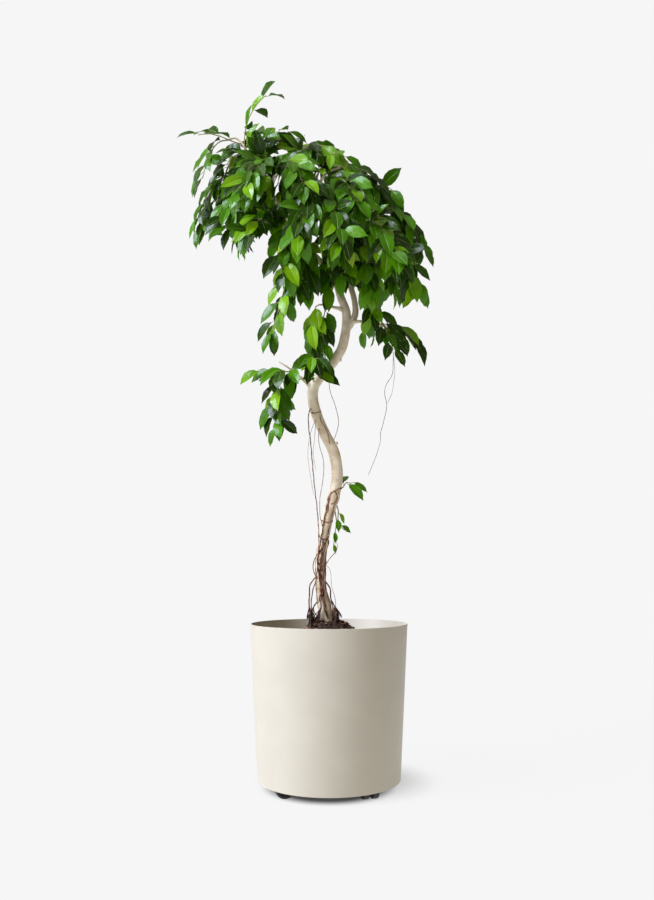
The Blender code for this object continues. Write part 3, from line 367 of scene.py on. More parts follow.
# Kinds of node and settings that every finish uses
COORDINATES = "ShaderNodeTexCoord"
ATTRIBUTE = "ShaderNodeAttribute"
NOISE = "ShaderNodeTexNoise"
RANGE = "ShaderNodeMapRange"
MATHS = "ShaderNodeMath"
VECTORS = "ShaderNodeVectorMath"
MAPPING = "ShaderNodeMapping"
SPLIT = "ShaderNodeSeparateXYZ"
BUMP = "ShaderNodeBump"
MIX = "ShaderNodeMix"
SMOOTH = {"interpolation_type": "SMOOTHSTEP"}
COLORS = {"data_type": "RGBA"}

# Limbs: sides of the tube, then (x, y, z, radius) points from its lower end; the stem is first
LIMBS = {
    "stem": (10, (
        (-0.003, 0, 0.301, 0.02), (-0.003, 0, 0.396, 0.021), (-0.003, 0, 0.416, 0.02),
        (-0.009, 0, 0.447, 0.0175), (-0.017, 0, 0.483, 0.0135), (-0.021, 0, 0.511, 0.0118),
        (-0.022, 0.002, 0.56, 0.0124), (-0.017, 0.003, 0.611, 0.0128), (-0.012, 0.002, 0.647, 0.014),
        (-0.003, 0, 0.692, 0.0152), (0.009, -0.004, 0.733, 0.015), (0.018, -0.006, 0.769, 0.0145),
        (0.021, -0.006, 0.807, 0.0142), (0.012, -0.004, 0.856, 0.014), (-0.011, 0, 0.903, 0.0136),
        (-0.029, 0.002, 0.946, 0.0136), (-0.041, 0.003, 0.988, 0.014), (-0.039, 0.002, 1.026, 0.0138),
        (-0.016, 0, 1.057, 0.0126), (0.013, -0.002, 1.09, 0.0122), (0.036, -0.002, 1.133, 0.012),
        (0.049, 0, 1.18, 0.0122))),
    "leader": (8, (
        (0.047, 0, 1.167, 0.0105), (0.045, 0.002, 1.206, 0.0112), (0.031, 0.006, 1.253, 0.0104),
        (0.018, 0.01, 1.296, 0.0096), (-0.005, 0.016, 1.332, 0.0088), (-0.044, 0.025, 1.377, 0.008),
        (-0.081, 0.03, 1.433, 0.0068), (-0.117, 0.03, 1.485, 0.0058), (-0.153, 0.02, 1.533, 0.0048),
        (-0.187, 0, 1.574, 0.0038), (-0.208, -0.02, 1.6, 0.0028))),
    "second_stem": (8, (
        (0.043, 0, 1.169, 0.008), (0.061, 0, 1.195, 0.0082), (0.068, 0.004, 1.219, 0.0076),
        (0.064, 0.012, 1.256, 0.0072), (0.054, 0.02, 1.292, 0.007), (0.039, 0.035, 1.347, 0.0066),
        (0.023, 0.05, 1.408, 0.006), (0.005, 0.045, 1.476, 0.0054), (-0.016, 0.03, 1.529, 0.0046),
        (-0.042, 0.02, 1.574, 0.0036), (-0.067, 0.01, 1.605, 0.0028))),
    "left_front_limb": (6, (
        (-0.044, 0.025, 1.377, 0.0046), (-0.069, -0.025, 1.382, 0.0038),
        (-0.092, -0.075, 1.384, 0.0028))),
    "left_limb": (6, (
        (-0.117, 0.03, 1.485, 0.0044), (-0.165, 0.045, 1.516, 0.0036), (-0.208, 0.05, 1.544, 0.0028))),
    "left_back_limb": (6, (
        (-0.096, 0.03, 1.457, 0.0044), (-0.13, 0.075, 1.511, 0.0036), (-0.16, 0.12, 1.558, 0.0028))),
    "left_top_limb": (6, (
        (-0.199, -0.01, 1.587, 0.0029), (-0.214, -0.012, 1.63, 0.0026), (-0.237, -0.01, 1.655, 0.0024),
        (-0.258, -0.01, 1.651, 0.0021))),
    "front_top_limb": (6, (
        (-0.153, 0.02, 1.533, 0.0038), (-0.142, -0.03, 1.534, 0.0033), (-0.136, -0.08, 1.535, 0.0026))),
    "right_limb": (6, (
        (0.023, 0.05, 1.408, 0.0048), (0.06, 0.055, 1.457, 0.0042), (0.102, 0.05, 1.492, 0.0034),
        (0.133, 0.045, 1.502, 0.0027))),
    "right_front_limb": (6, (
        (0.034, 0.04, 1.37, 0.0046), (0.051, -0.01, 1.391, 0.0038), (0.067, -0.07, 1.396, 0.0028))),
    "right_back_limb": (6, (
        (0.005, 0.045, 1.476, 0.0044), (0.029, 0.09, 1.531, 0.0036), (0.057, 0.135, 1.57, 0.0028))),
    "right_top_limb": (6, (
        (-0.029, 0.025, 1.553, 0.0036), (-0.003, 0.01, 1.579, 0.003), (0.028, 0, 1.587, 0.0025))),
    "centre_front_limb": (6, (
        (-0.011, 0.035, 1.519, 0.0042), (-0.015, -0.03, 1.514, 0.0035), (-0.02, -0.09, 1.5, 0.0028))),
    "centre_back_limb": (6, (
        (-0.034, 0.022, 1.562, 0.0038), (-0.056, 0.07, 1.609, 0.0032), (-0.076, 0.12, 1.648, 0.0026))),
    "low_right_limb": (6, (
        (0.056, 0, 1.19, 0.0042), (0.083, -0.02, 1.185, 0.0034), (0.116, -0.03, 1.178, 0.0028),
        (0.149, -0.03, 1.166, 0.0022))),
    "low_left_limb": (6, (
        (-0.041, 0, 1.018, 0.0048), (-0.061, -0.01, 1.036, 0.004), (-0.084, -0.02, 1.052, 0.0028),
        (-0.106, -0.028, 1.068, 0.0021), (-0.127, -0.03, 1.08, 0.0016))),
    "low_left_fork": (6, (
        (-0.071, -0.015, 1.043, 0.003), (-0.096, -0.03, 1.029, 0.0026), (-0.116, -0.035, 1.005, 0.0022),
        (-0.129, -0.035, 0.975, 0.0018))),
    "upper_stub": (6, (
        (0.01, -0.002, 1.09, 0.0055), (0.032, -0.005, 1.093, 0.0042))),
    "lower_stub": (6, (
        (0.002, -0.004, 0.872, 0.005), (0.023, -0.007, 0.879, 0.0034))),
    "mid_left_limb": (6, (
        (0.033, 0, 1.223, 0.0038), (0.01, -0.01, 1.225, 0.0032), (-0.008, -0.02, 1.228, 0.0026),
        (-0.026, -0.03, 1.224, 0.002))),
}

# Aerial roots, three-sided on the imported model: (x, y, z, radius) points from the top
ROOT_SIDES = 3
ROOTS = {
    "hanging_root_left": (
        (-0.041, 0, 0.972, 0.0016), (-0.051, -0.014, 0.957, 0.0016), (-0.052, -0.018, 0.92, 0.0015),
        (-0.047, -0.018, 0.882, 0.0015), (-0.043, -0.02, 0.834, 0.0015), (-0.036, -0.02, 0.757, 0.0015),
        (-0.031, -0.02, 0.717, 0.0015), (-0.026, -0.018, 0.646, 0.0015), (-0.028, -0.017, 0.59, 0.0015),
        (-0.033, -0.018, 0.534, 0.0016), (-0.043, -0.022, 0.494, 0.0017),
        (-0.046, -0.026, 0.451, 0.0018), (-0.048, -0.028, 0.427, 0.0018)),
    "hanging_root_right": (
        (0.146, -0.03, 1.167, 0.001), (0.156, -0.034, 1.134, 0.0009), (0.161, -0.038, 1.103, 0.0009),
        (0.161, -0.04, 1.07, 0.0008), (0.158, -0.04, 1.044, 0.0008), (0.143, -0.04, 1.019, 0.0008),
        (0.14, -0.04, 0.994, 0.0008), (0.145, -0.04, 0.969, 0.0008), (0.138, -0.04, 0.931, 0.0008),
        (0.13, -0.04, 0.901, 0.0008), (0.128, -0.04, 0.874, 0.0007), (0.118, -0.04, 0.841, 0.0007),
        (0.108, -0.04, 0.816, 0.0007), (0.098, -0.04, 0.791, 0.0006)),
    "hanging_root_mid": (
        (-0.023, -0.004, 0.928, 0.001), (-0.027, -0.018, 0.895, 0.0009),
        (-0.023, -0.022, 0.864, 0.0009), (-0.014, -0.022, 0.831, 0.0009),
        (-0.015, -0.02, 0.788, 0.0009), (-0.023, -0.018, 0.737, 0.0009),
        (-0.023, -0.016, 0.697, 0.0009), (-0.016, -0.008, 0.657, 0.0009)),
    "hanging_root_back": (
        (-0, 0.004, 1.063, 0.001), (-0, -0.016, 1.027, 0.0009), (0.005, -0.02, 1.001, 0.0009),
        (0.014, -0.02, 0.976, 0.0009), (0.024, -0.02, 0.935, 0.0009), (0.018, -0.014, 0.901, 0.0009),
        (0.005, -0.002, 0.872, 0.0009)),
    "clinging_root_left": (
        (0.01, -0.012, 0.768, 0.0018), (0.002, -0.018, 0.742, 0.0019), (-0.008, -0.016, 0.707, 0.0019),
        (-0.016, -0.014, 0.661, 0.0019), (-0.023, -0.013, 0.618, 0.0019),
        (-0.028, -0.013, 0.565, 0.0019), (-0.021, -0.014, 0.504, 0.002),
        (-0.021, -0.022, 0.461, 0.0022), (-0.025, -0.032, 0.432, 0.0022)),
    "clinging_root_right": (
        (0.025, -0.012, 0.763, 0.0017), (0.018, -0.017, 0.732, 0.0018), (0.007, -0.017, 0.692, 0.0018),
        (-0.003, -0.015, 0.646, 0.0018), (-0.013, -0.014, 0.6, 0.0018), (-0.016, -0.013, 0.549, 0.0018),
        (-0.01, -0.014, 0.509, 0.0019), (0.002, -0.018, 0.478, 0.002), (0.012, -0.024, 0.456, 0.0022),
        (0.02, -0.032, 0.433, 0.0022)),
    "arch_root_left": (
        (-0.026, -0.004, 0.544, 0.0022), (-0.045, -0.01, 0.524, 0.0021), (-0.05, -0.012, 0.501, 0.0021),
        (-0.051, -0.012, 0.463, 0.0022), (-0.056, -0.012, 0.428, 0.0024)),
    "arch_root_right": (
        (-0.018, 0.002, 0.534, 0.0022), (0.001, 0.004, 0.511, 0.0021), (0.006, 0.004, 0.477, 0.0021),
        (0.02, 0.004, 0.454, 0.0022), (0.033, 0.004, 0.433, 0.0024)),
    "foot_root_left": (
        (-0.023, 0.006, 0.482, 0.0022), (-0.041, 0.012, 0.457, 0.0022), (-0.057, 0.018, 0.428, 0.0024)),
    "foot_root_back": (
        (-0.018, 0.006, 0.498, 0.0022), (-0.008, 0.02, 0.466, 0.0022), (0.008, 0.034, 0.442, 0.0024),
        (0.015, 0.044, 0.427, 0.0024)),
}

# Leafy twigs: name, limb, part of its length, the twig's middle and end, leaves, their hang
SPRAYS = (
    ("crown_tip", "leader", 1, (-0.208, -0.02, 1.689), (-0.165, -0.02, 1.755), 8, -0.15, 1),
    ("far_left_top", "left_top_limb", 1, (-0.295, -0.02, 1.623), (-0.318, -0.03, 1.549), 9, 0.3, 1),
    ("left_arch", "left_top_limb", 0.6, (-0.286, -0.03, 1.653), (-0.322, -0.04, 1.649), 4, 0.03, 1),
    ("left_upper_fall", "left_top_limb", 0.3, (-0.255, 0.03, 1.62), (-0.282, 0.04, 1.542), 9, 0.4, 1),
    ("left_fall_outer", "left_limb", 1, (-0.293, 0.04, 1.573), (-0.33, 0.03, 1.459), 11, 0.4, 1),
    ("left_fall_inner", "left_limb", 0.75, (-0.239, -0.02, 1.519), (-0.253, -0.05, 1.419), 9, 0.45, 1),
    ("left_fall_back", "left_limb", 0.5, (-0.216, 0.11, 1.559), (-0.233, 0.14, 1.469), 9, 0.45, 1),
    ("top_front_left", "front_top_limb", 1, (-0.169, -0.15, 1.516), (-0.197, -0.2, 1.433), 10, 0.4, 1),
    ("top_front_mid", "front_top_limb", 0.7, (-0.097, -0.11, 1.542), (-0.061, -0.17, 1.462), 10, 0.4, 1),
    ("top_mid", "leader", 0.93, (-0.172, 0.03, 1.675), (-0.113, 0.05, 1.702), 8, 0.2, 1),
    ("top_arch", "second_stem", 1, (-0.062, 0, 1.638), (-0.01, -0.01, 1.636), 8, 0.2, 1),
    ("top_right_arch", "right_top_limb", 0.35, (0.002, 0.05, 1.639), (0.043, 0.1, 1.646), 8, 0.25, 1),
    ("top_right", "right_top_limb", 1, (0.082, 0, 1.574), (0.123, 0.01, 1.533), 9, 0.35, 1),
    ("right_shoulder", "right_limb", 0.75, (0.133, 0.04, 1.55), (0.17, 0.04, 1.542), 8, 0.25, 1),
    ("right_front_high", "centre_front_limb", 0.6, (0.027, -0.1, 1.51), (0.063, -0.17, 1.424), 9, 0.4, 1),
    ("right_fall_outer", "right_limb", 1, (0.195, 0.03, 1.475), (0.24, 0.02, 1.388), 10, 0.4, 1),
    ("right_fall_back", "right_limb", 0.8, (0.187, 0.12, 1.487), (0.207, 0.16, 1.4), 9, 0.45, 1),
    ("right_fall_front", "right_front_limb", 1, (0.116, -0.15, 1.367), (0.15, -0.2, 1.267), 10, 0.45, 1),
    ("right_low_outer", "right_limb", 0.88, (0.18, -0.05, 1.359), (0.219, -0.06, 1.261), 9, 0.45, 1),
    ("right_inner_fall", "right_limb", 0.45, (0.134, 0.06, 1.42), (0.167, 0.07, 1.318), 8, 0.5, 1),
    ("centre_front_left", "centre_front_limb", 1,
     (-0.047, -0.16, 1.438), (-0.072, -0.21, 1.332), 9, 0.5, 1),
    ("centre_front_right", "centre_front_limb", 0.8,
     (0.009, -0.16, 1.415), (0.027, -0.21, 1.314), 9, 0.5, 1),
    ("front_right_inner", "right_front_limb", 0.6, (0.039, -0.1, 1.354), (0.036, -0.14, 1.271), 8, 0.5, 1),
    ("front_right_outer", "right_front_limb", 0.9, (0.089, -0.12, 1.327), (0.1, -0.14, 1.247), 8, 0.5, 1),
    ("under_centre", "second_stem", 0.62, (0.012, -0.01, 1.35), (-0.003, -0.04, 1.273), 7, 0.6, 1),
    ("left_front_inner", "left_front_limb", 0.5, (-0.062, -0.07, 1.332), (-0.064, -0.1, 1.261), 7, 0.5, 1),
    ("left_front_mid", "left_front_limb", 1, (-0.11, -0.14, 1.342), (-0.108, -0.17, 1.26), 8, 0.5, 1),
    ("left_front_outer", "leader", 0.72, (-0.156, -0.1, 1.425), (-0.181, -0.17, 1.349), 9, 0.45, 1),
    ("long_left_fall", "leader", 0.6, (-0.11, -0.01, 1.294), (-0.145, -0.02, 1.163), 11, 0.5, 1),
    ("mid_left", "mid_left_limb", 1, (-0.036, -0.03, 1.206), (-0.04, -0.04, 1.137), 8, 0.55, 1),
    ("low_left_high", "low_left_limb", 0.68, (-0.115, -0.055, 1.048), (-0.162, -0.06, 1.042), 8, 0.4, 1),
    ("low_left_fall", "low_left_fork", 0.4, (-0.133, -0.045, 1.006), (-0.13, -0.05, 0.924), 10, 0.4, 1),
    ("low_left_front", "stem", 0.812, (-0.035, -0.05, 1.075), (-0.042, -0.09, 1.074), 7, 0.5, 1),
    ("low_right_outer", "low_right_limb", 1, (0.174, -0.03, 1.166), (0.21, -0.02, 1.13), 7, 0.4, 1),
    ("low_right_inner", "low_right_limb", 0.55, (0.122, 0.03, 1.22), (0.103, 0.06, 1.193), 7, 0.45, 1),
    ("trunk_sprig", "stem", 0.51, (0.042, 0, 0.777), (0.054, 0, 0.777), 3, 0.3, 0.8),
    ("trunk_sprig_low", "stem", 0.463, (0.024, -0.004, 0.677), (0.039, -0.006, 0.657), 4, 0.4, 0.5),
    ("back_left", "left_back_limb", 1, (-0.219, 0.19, 1.602), (-0.253, 0.22, 1.519), 9, 0.5, 1),
    ("back_centre", "centre_back_limb", 1, (-0.12, 0.18, 1.664), (-0.142, 0.22, 1.564), 9, 0.45, 1),
    ("back_right", "right_back_limb", 1, (0.115, 0.19, 1.574), (0.153, 0.22, 1.479), 9, 0.5, 1),
    ("back_inner", "right_back_limb", 0.6, (0.047, 0.16, 1.532), (0.036, 0.19, 1.439), 9, 0.5, 1),
)


def plant_point(point):
    return PLANTER_AXIS + Vector(point[:3])


def square_to(vector, tangent):
    return (vector - tangent * vector.dot(tangent)).normalized()


def ring_faces(count, sides):
    """Quads that join rings of corners numbered one ring after another, with both ends shut."""
    faces = []
    for low in range(0, (count - 1) * sides, sides):
        for step in range(sides):
            after = (step + 1) % sides
            faces.append((low + step, low + after, low + sides + after, low + sides + step))
    faces.append(tuple(range(sides)))
    faces.append(tuple(range((count - 1) * sides, count * sides)))
    return faces


def tube_shape(route, sides):
    """Corners and faces of a closed tube along (x, y, z, radius) points.

    Each ring is square to the route, and turned as little as it can be from the last one.
    """
    points = [plant_point(place) for place in route]
    corners = []
    side = (points[1] - points[0]).normalized().orthogonal()
    for place, point in enumerate(points):
        before = points[max(place - 1, 0)]
        after = points[min(place + 1, len(points) - 1)]
        tangent = (after - before).normalized()
        side = square_to(side, tangent)
        other = tangent.cross(side)
        for step in range(sides):
            angle = math.tau * step / sides
            spoke = side * math.cos(angle) + other * math.sin(angle)
            corners.append(point + route[place][3] * spoke)
    return corners, ring_faces(len(points), sides)


def box_round(corners):
    """The lowest and the highest x, y and z of some corners."""
    return [[end(corner[axis] for corner in corners) for axis in range(3)] for end in (min, max)]


class Obstacles:
    """What has grown so far, kept as one search tree and one box for each piece."""

    def __init__(self):
        self.pieces = []

    def add(self, corners, faces):
        self.pieces.append((*box_round(corners), BVHTree.FromPolygons(corners, faces)))

    def meets(self, corners, faces):
        low, high = box_round(corners)
        tree = None
        for other_low, other_high, other in self.pieces:
            if any(low[a] > other_high[a] or high[a] < other_low[a] for a in range(3)):
                continue
            tree = tree or BVHTree.FromPolygons(corners, faces)
            if tree.overlap(other):
                return True
        return False


def limb_point(route, part):
    """Place, direction and radius at a part of a limb's length."""
    points = [plant_point(p) for p in route]
    spans = [(b - a).length for a, b in zip(points, points[1:])]
    left = part * sum(spans)
    for place, span in enumerate(spans):
        if left <= span or place == len(spans) - 1:
            break
        left -= span
    share = min(left / spans[place], 1.0)
    radius = route[place][3] + share * (route[place + 1][3] - route[place][3])
    tangent = (points[place + 1] - points[place]).normalized()
    return points[place].lerp(points[place + 1], share), tangent, radius


def parabola(root, middle, end):
    """Points along the parabola through three places, and how far along it each one is."""
    bend = 2.0 * middle - (root + end) / 2.0
    points = []
    for step in range(TWIG_STEPS + 1):
        t = step / TWIG_STEPS
        points.append(root * (1 - t) ** 2 + bend * 2 * t * (1 - t) + end * t * t)
    distances = [0.0]
    for before, after in zip(points, points[1:]):
        distances.append(distances[-1] + (after - before).length)
    return points, distances


def point_along(points, distances, wanted):
    """The point at a distance along the route, which runs on straight past its end."""
    place = min(bisect.bisect_right(distances, wanted), len(points) - 1)
    span = distances[place] - distances[place - 1]
    share = (wanted - distances[place - 1]) / span
    return points[place - 1] + (points[place] - points[place - 1]) * share


def seat_twig(limb, start, out):
    """Bring a twig's start in towards its limb, until its first ring stands off by the gap."""
    sides, route = LIMBS[limb]
    surface = BVHTree.FromPolygons(*tube_shape(route, sides))
    back = square_to(TWIG_BACK, out)
    ring = twig_ring((start, out, out.cross(back), back, TWIG_RADIUS))
    ring += [one.lerp(other, 0.5) for one, other in zip(ring, ring[1:] + ring[:1])]
    nearest = min(surface.find_nearest(place)[3] for place in ring + [start])
    return start - out * (nearest - GAP)


def twig_points(limb, part, middle, end, leaves):
    """A twig's start and its corners' middles: two for each leaf's node, then its bud's tip."""
    centre, along, limb_radius = limb_point(LIMBS[limb][1], part)
    middle = plant_point(middle)
    grows_on = part == 1.0
    out = along if grows_on else square_to(middle - centre, along)
    start = seat_twig(limb, centre + out * (GAP if grows_on else limb_radius + GAP), out)
    points, distances = parabola(start + out * TWIG_START, middle, plant_point(end))
    twig = [start]
    for leaf in range(leaves):
        share = (leaf + FIRST_LEAF) / (leaves - 1 + FIRST_LEAF)
        for step in (-0.5, 0.5):
            twig.append(point_along(points, distances, share * distances[-1] + step * NODE_LENGTH))
    twig.append(twig[-1] + (twig[-1] - twig[-2]).normalized() * BUD_LENGTH)
    return twig, out


def twig_frames(points, out):
    """Frames (point, tangent, side, back, radius) at a twig's points, with the least turning."""
    frames = []
    back = square_to(TWIG_BACK, out)
    for place, point in enumerate(points):
        after = points[min(place + 1, len(points) - 1)]
        tangent = (after - points[place - 1]).normalized() if place else out
        back = square_to(back, tangent)
        share = place / (len(points) - 1)
        radius = TWIG_RADIUS + share * (TWIG_TIP_RADIUS - TWIG_RADIUS)
        frames.append((point, tangent, tangent.cross(back), back, radius))
    return frames


def twig_ring(place):
    """Three corners: the twig's back, and its left and right below."""
    point, _, side, back, radius = place
    low = point - back * radius * 0.5
    return [point + back * radius, low - side * radius * 0.87, low + side * radius * 0.87]


def blade_point(leaf, t):
    """Middle and upward direction of the blade at t: its midrib is an arc that bows down."""
    arc = leaf["bow"]
    base, ahead, up = leaf["base"], leaf["ahead"], leaf["up"]
    bowed = ahead * math.sin(arc * t) - up * (1.0 - math.cos(arc * t))
    return base + bowed * (leaf["length"] / arc), up * math.cos(arc * t) + ahead * math.sin(arc * t)


def blade_ring(leaf, t, half_width):
    """Left edge, midrib's top, right edge and midrib's underside of the swollen blade at t."""
    middle, up = blade_point(leaf, t)
    half_width += LEAF_CLEARANCE
    thickness = LEAF_THICKNESS + 2 * LEAF_CLEARANCE
    across = leaf["across"] * half_width * math.cos(LEAF_FOLD)
    lift = up * half_width * math.sin(LEAF_FOLD)
    top = middle + up * thickness / 2
    under = middle - up * thickness / 2
    return [middle - across + lift, top, middle + across + lift, under]


def leaf_hull(leaf):
    """Corners and faces of a swollen leaf, with its petiole, to test against the others."""
    rings = [blade_ring(leaf, 0.0, PETIOLE_HALF_WIDTH)]
    rings += [blade_ring(leaf, t, leaf["half_width"] * share) for t, share in LEAF_STATIONS]
    shift = leaf["node"].lerp(leaf["base"], PETIOLE_FREE_PART) - leaf["base"]
    rings.insert(0, [corner + shift for corner in rings[0]])
    corners = [corner for ring in rings for corner in ring]
    faces = ring_faces(len(rings), 4)[:-1]
    last = len(corners) - 4
    corners.append(blade_point(leaf, 1.0)[0])
    faces += [(last + step, last + (step + 1) % 4, last + 4) for step in range(4)]
    return corners, faces


def try_leaf(stand, sign, last, habit, chance, spread):
    """One way for a leaf to stand at a node; a wider spread turns it further from its habit."""
    point, tangent, side, back, _ = stand
    hang, scale = habit
    turn, tilt, roll = [chance.uniform(-spread, spread) for _ in range(3)]
    aside = (LAST_ASIDE if last else LEAF_ASIDE) * (1.0 + TURN_CHANCE * turn)
    ahead = tangent * (LAST_ALONG if last else LEAF_ALONG) + side * (sign * aside)
    ahead = (ahead + back * (LEAF_RISE + TILT_CHANCE * tilt)).normalized()
    base = point + ahead * (PETIOLE_LENGTH * scale * chance.uniform(*PETIOLE_REACHES))
    fall = min(max(hang + HANG_CHANCE * tilt, 0.0), MOST_HANG)
    outward = (point - CROWN_AXIS) * Vector((1.0, 1.0, 0.0))
    outward.normalize()
    drift = outward * LEAF_OUTWARD + side * (TURN_CHANCE * turn)
    ahead = (ahead * (1.0 - fall) + Vector((0.0, 0.0, -fall)) + drift).normalized()
    facing = back * FACING_BACK + outward * FACING_OUTWARD + LIGHT + side * (ROLL_CHANCE * roll)
    up = square_to(facing, ahead)
    size = scale * chance.uniform(*LEAF_SIZES) * (LAST_LEAF_SIZE if last else 1.0)
    return {
        "node": point, "base": base, "ahead": ahead, "up": up, "across": ahead.cross(up),
        "length": LEAF_LENGTH * size, "half_width": LEAF_HALF_WIDTH * size,
        "bow": math.radians(chance.uniform(*LEAF_BOWS)),
    }


def grow_leaf(grown, spreads, outline, *stand):
    """A list of the first leaf, if any, that is clear of what has grown and in any outline."""
    for spread in spreads:
        leaf = try_leaf(*stand, spread)
        hull = leaf_hull(leaf)
        if (outline is None or in_crown(hull[0], outline)) and not grown.meets(*hull):
            grown.add(*hull)
            return [leaf]
    return []


def plan_leaves(frames, habit, chance, grown):
    """A leaf for each node, right and left in turn, each one clear of all that has grown."""
    leaves = []
    nodes = len(frames) // 2 - 1
    for node in range(nodes):
        lower, upper = frames[1 + 2 * node], frames[2 + 2 * node]
        middle = (lower[0].lerp(upper[0], 0.5),) + upper[1:]
        stand = (middle, 1 if node % 2 else -1, node == nodes - 1, habit, chance)
        leaves += grow_leaf(grown, LEAF_SPREADS, None, *stand)
    return leaves


def further_leaves(frames, turns, habit, chance, grown):
    """Leaves all round the twig, at its nodes and between them, each clear of what has grown."""
    leaves = []
    for (point, tangent, side, back, radius), after in zip(frames[1:-1], frames[2:]):
        middle = point.lerp(after[0], chance.random())
        for degrees in turns:
            turn = math.radians(degrees + chance.uniform(-FURTHER_TURN_CHANCE, FURTHER_TURN_CHANCE))
            turned_side = side * math.cos(turn) + back * math.sin(turn)
            turned_back = back * math.cos(turn) - side * math.sin(turn)
            if turned_back.dot(back) < 0.0:
                turned_back = -turned_back
            place = (middle, tangent, turned_side, turned_back, radius)
            leaves += grow_leaf(grown, FURTHER_SPREADS, CROWN_OUTLINE, place, 1, False, habit, chance)
    return leaves


def in_crown(corners, outline):
    """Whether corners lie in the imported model's box, and in the crown's outline from the front.

    A corner is carried along its line of sight to the plane of the planter's axis; it is inside
    if a level line from there to the right crosses the outline's sides an odd number of times.
    """
    places = np.array(corners)
    if (places <= np.array(CAD_BOX[0])).any() or (places >= np.array(CAD_BOX[1])).any():
        return False
    sight = np.array(CAMERA_PLACE)
    reach = (PLANTER_AXIS.y - sight[1]) / (places[:, 1] - sight[1])
    x = (places[:, 0] - sight[0]) * reach
    z = sight[2] + (places[:, 2] - sight[2]) * reach
    after = np.roll(outline, -1, axis=0)
    between = (outline[:, 1] > z[:, None]) != (after[:, 1] > z[:, None])
    rise = after[:, 1] - outline[:, 1]
    share = (z[:, None] - outline[:, 1]) / np.where(rise == 0.0, 1.0, rise)
    crossed = between & (x[:, None] < outline[:, 0] + share * (after[:, 0] - outline[:, 0]))
    return bool((crossed.sum(1) % 2 == 1).all())


def unit(vectors):
    return vectors / np.linalg.norm(vectors, axis=-1, keepdims=True)


def even_turns(sides):
    return np.linspace(0.0, math.tau, sides, endpoint=False)


def lengths_along(points):
    """How far along a route each of its points is."""
    spans = np.linalg.norm(np.diff(points, axis=0), axis=1)
    return np.concatenate([[0.0], np.cumsum(spans)])


def smooth_route(points, step):
    """Catmull-Rom curve through (x, y, z, radius) points, at even steps along its length.

    Between points b and c, with a before and d after, the place at t is
    0.5 * (2b + (c - a) t + (2a - 5b + 4c - d) t^2 + (3b - a - 3c + d) t^3).
    """
    knots = np.array(points, float)
    knots = np.vstack([2 * knots[0] - knots[1], knots, 2 * knots[-1] - knots[-2]])
    a, b, c, d = (knots[k:len(knots) - 3 + k, None, :] for k in range(4))
    t = np.linspace(0.0, 1.0, ROUTE_STEPS, endpoint=False)[None, :, None]
    curve = 0.5 * (2 * b + (c - a) * t + (2 * a - 5 * b + 4 * c - d) * t ** 2
                   + (3 * b - a - 3 * c + d) * t ** 3)
    curve = np.vstack([curve.reshape(-1, 4), knots[-2]])
    along = lengths_along(curve[:, :3])
    wanted = np.linspace(0.0, along[-1], max(int(along[-1] / step), 3) + 1)
    return np.column_stack([np.interp(wanted, along, curve[:, k]) for k in range(4)])


def spokes(side, other, angles):
    """Directions side cos a + other sin a, for each row of side and other and each angle."""
    turn = side[:, None] * np.cos(angles)[None, :, None]
    return turn + other[:, None] * np.sin(angles)[None, :, None]


def swept_rings(centres, radii, sides):
    """Rings round a route: centre + radius * spoke, for radii per ring or per corner.

    The first spoke is what is left of the route's flattest direction once its part along the
    tangent is taken off, and the one a quarter turn on is tangent x first.
    """
    tangents = unit(np.gradient(centres, axis=0))
    flattest = np.linalg.svd(tangents)[2][-1]
    first = unit(flattest - tangents * (tangents @ flattest)[:, None])
    turn = spokes(first, np.cross(tangents, first), even_turns(sides))
    radii = np.broadcast_to(np.reshape(radii, (len(centres), -1)), (len(centres), sides))
    return centres[:, None] + radii[:, :, None] * turn


def turned_rings(profile, sides):
    """Rings of a turned form round Z: (r cos a, r sin a, z) for each (r, z) of the profile."""
    radii, heights = np.array(profile, float).T[:, :, None]
    turns = even_turns(sides)
    heights = np.broadcast_to(heights, (len(radii), sides))
    return np.stack([radii * np.cos(turns), radii * np.sin(turns), heights], -1)


def lofted(rings):
    """Points and faces of a skin over rings (ring, corner, xyz), shut by a fan at each end."""
    count, sides = rings.shape[:2]
    points = np.vstack([rings.reshape(-1, 3), rings[0].mean(0), rings[-1].mean(0)])
    edge = np.arange(sides)
    after = (edge + 1) % sides
    low = np.arange(count - 1)[:, None] * sides
    quads = np.stack([low + edge, low + after, low + sides + after, low + sides + edge], -1)
    last = (count - 1) * sides
    middle = np.full(sides, count * sides)
    start = np.stack([after, edge, middle], -1)
    end = np.stack([last + edge, last + after, middle + 1], -1)
    return points, quads.reshape(-1, 4), np.vstack([start, end])


def facing_out(points, quads, triangles):
    """The surface turned round if its volume, the sum of a . (b x c) / 6, is below 0."""
    halves = np.vstack([quads[:, [0, 1, 2]], quads[:, [0, 2, 3]], triangles])
    a, b, c = ((points - points.mean(0))[halves[:, k]] for k in range(3))
    if np.einsum("ij,ij->", a, np.cross(b, c)) / 6.0 < 0:
        return points, quads[:, ::-1], triangles[:, ::-1]
    return points, quads, triangles


def placed(name, data):
    """A new object of the scene, which stays at the origin unless it is moved."""
    made = bpy.data.objects.new(name, data)
    bpy.context.scene.collection.objects.link(made)
    return made


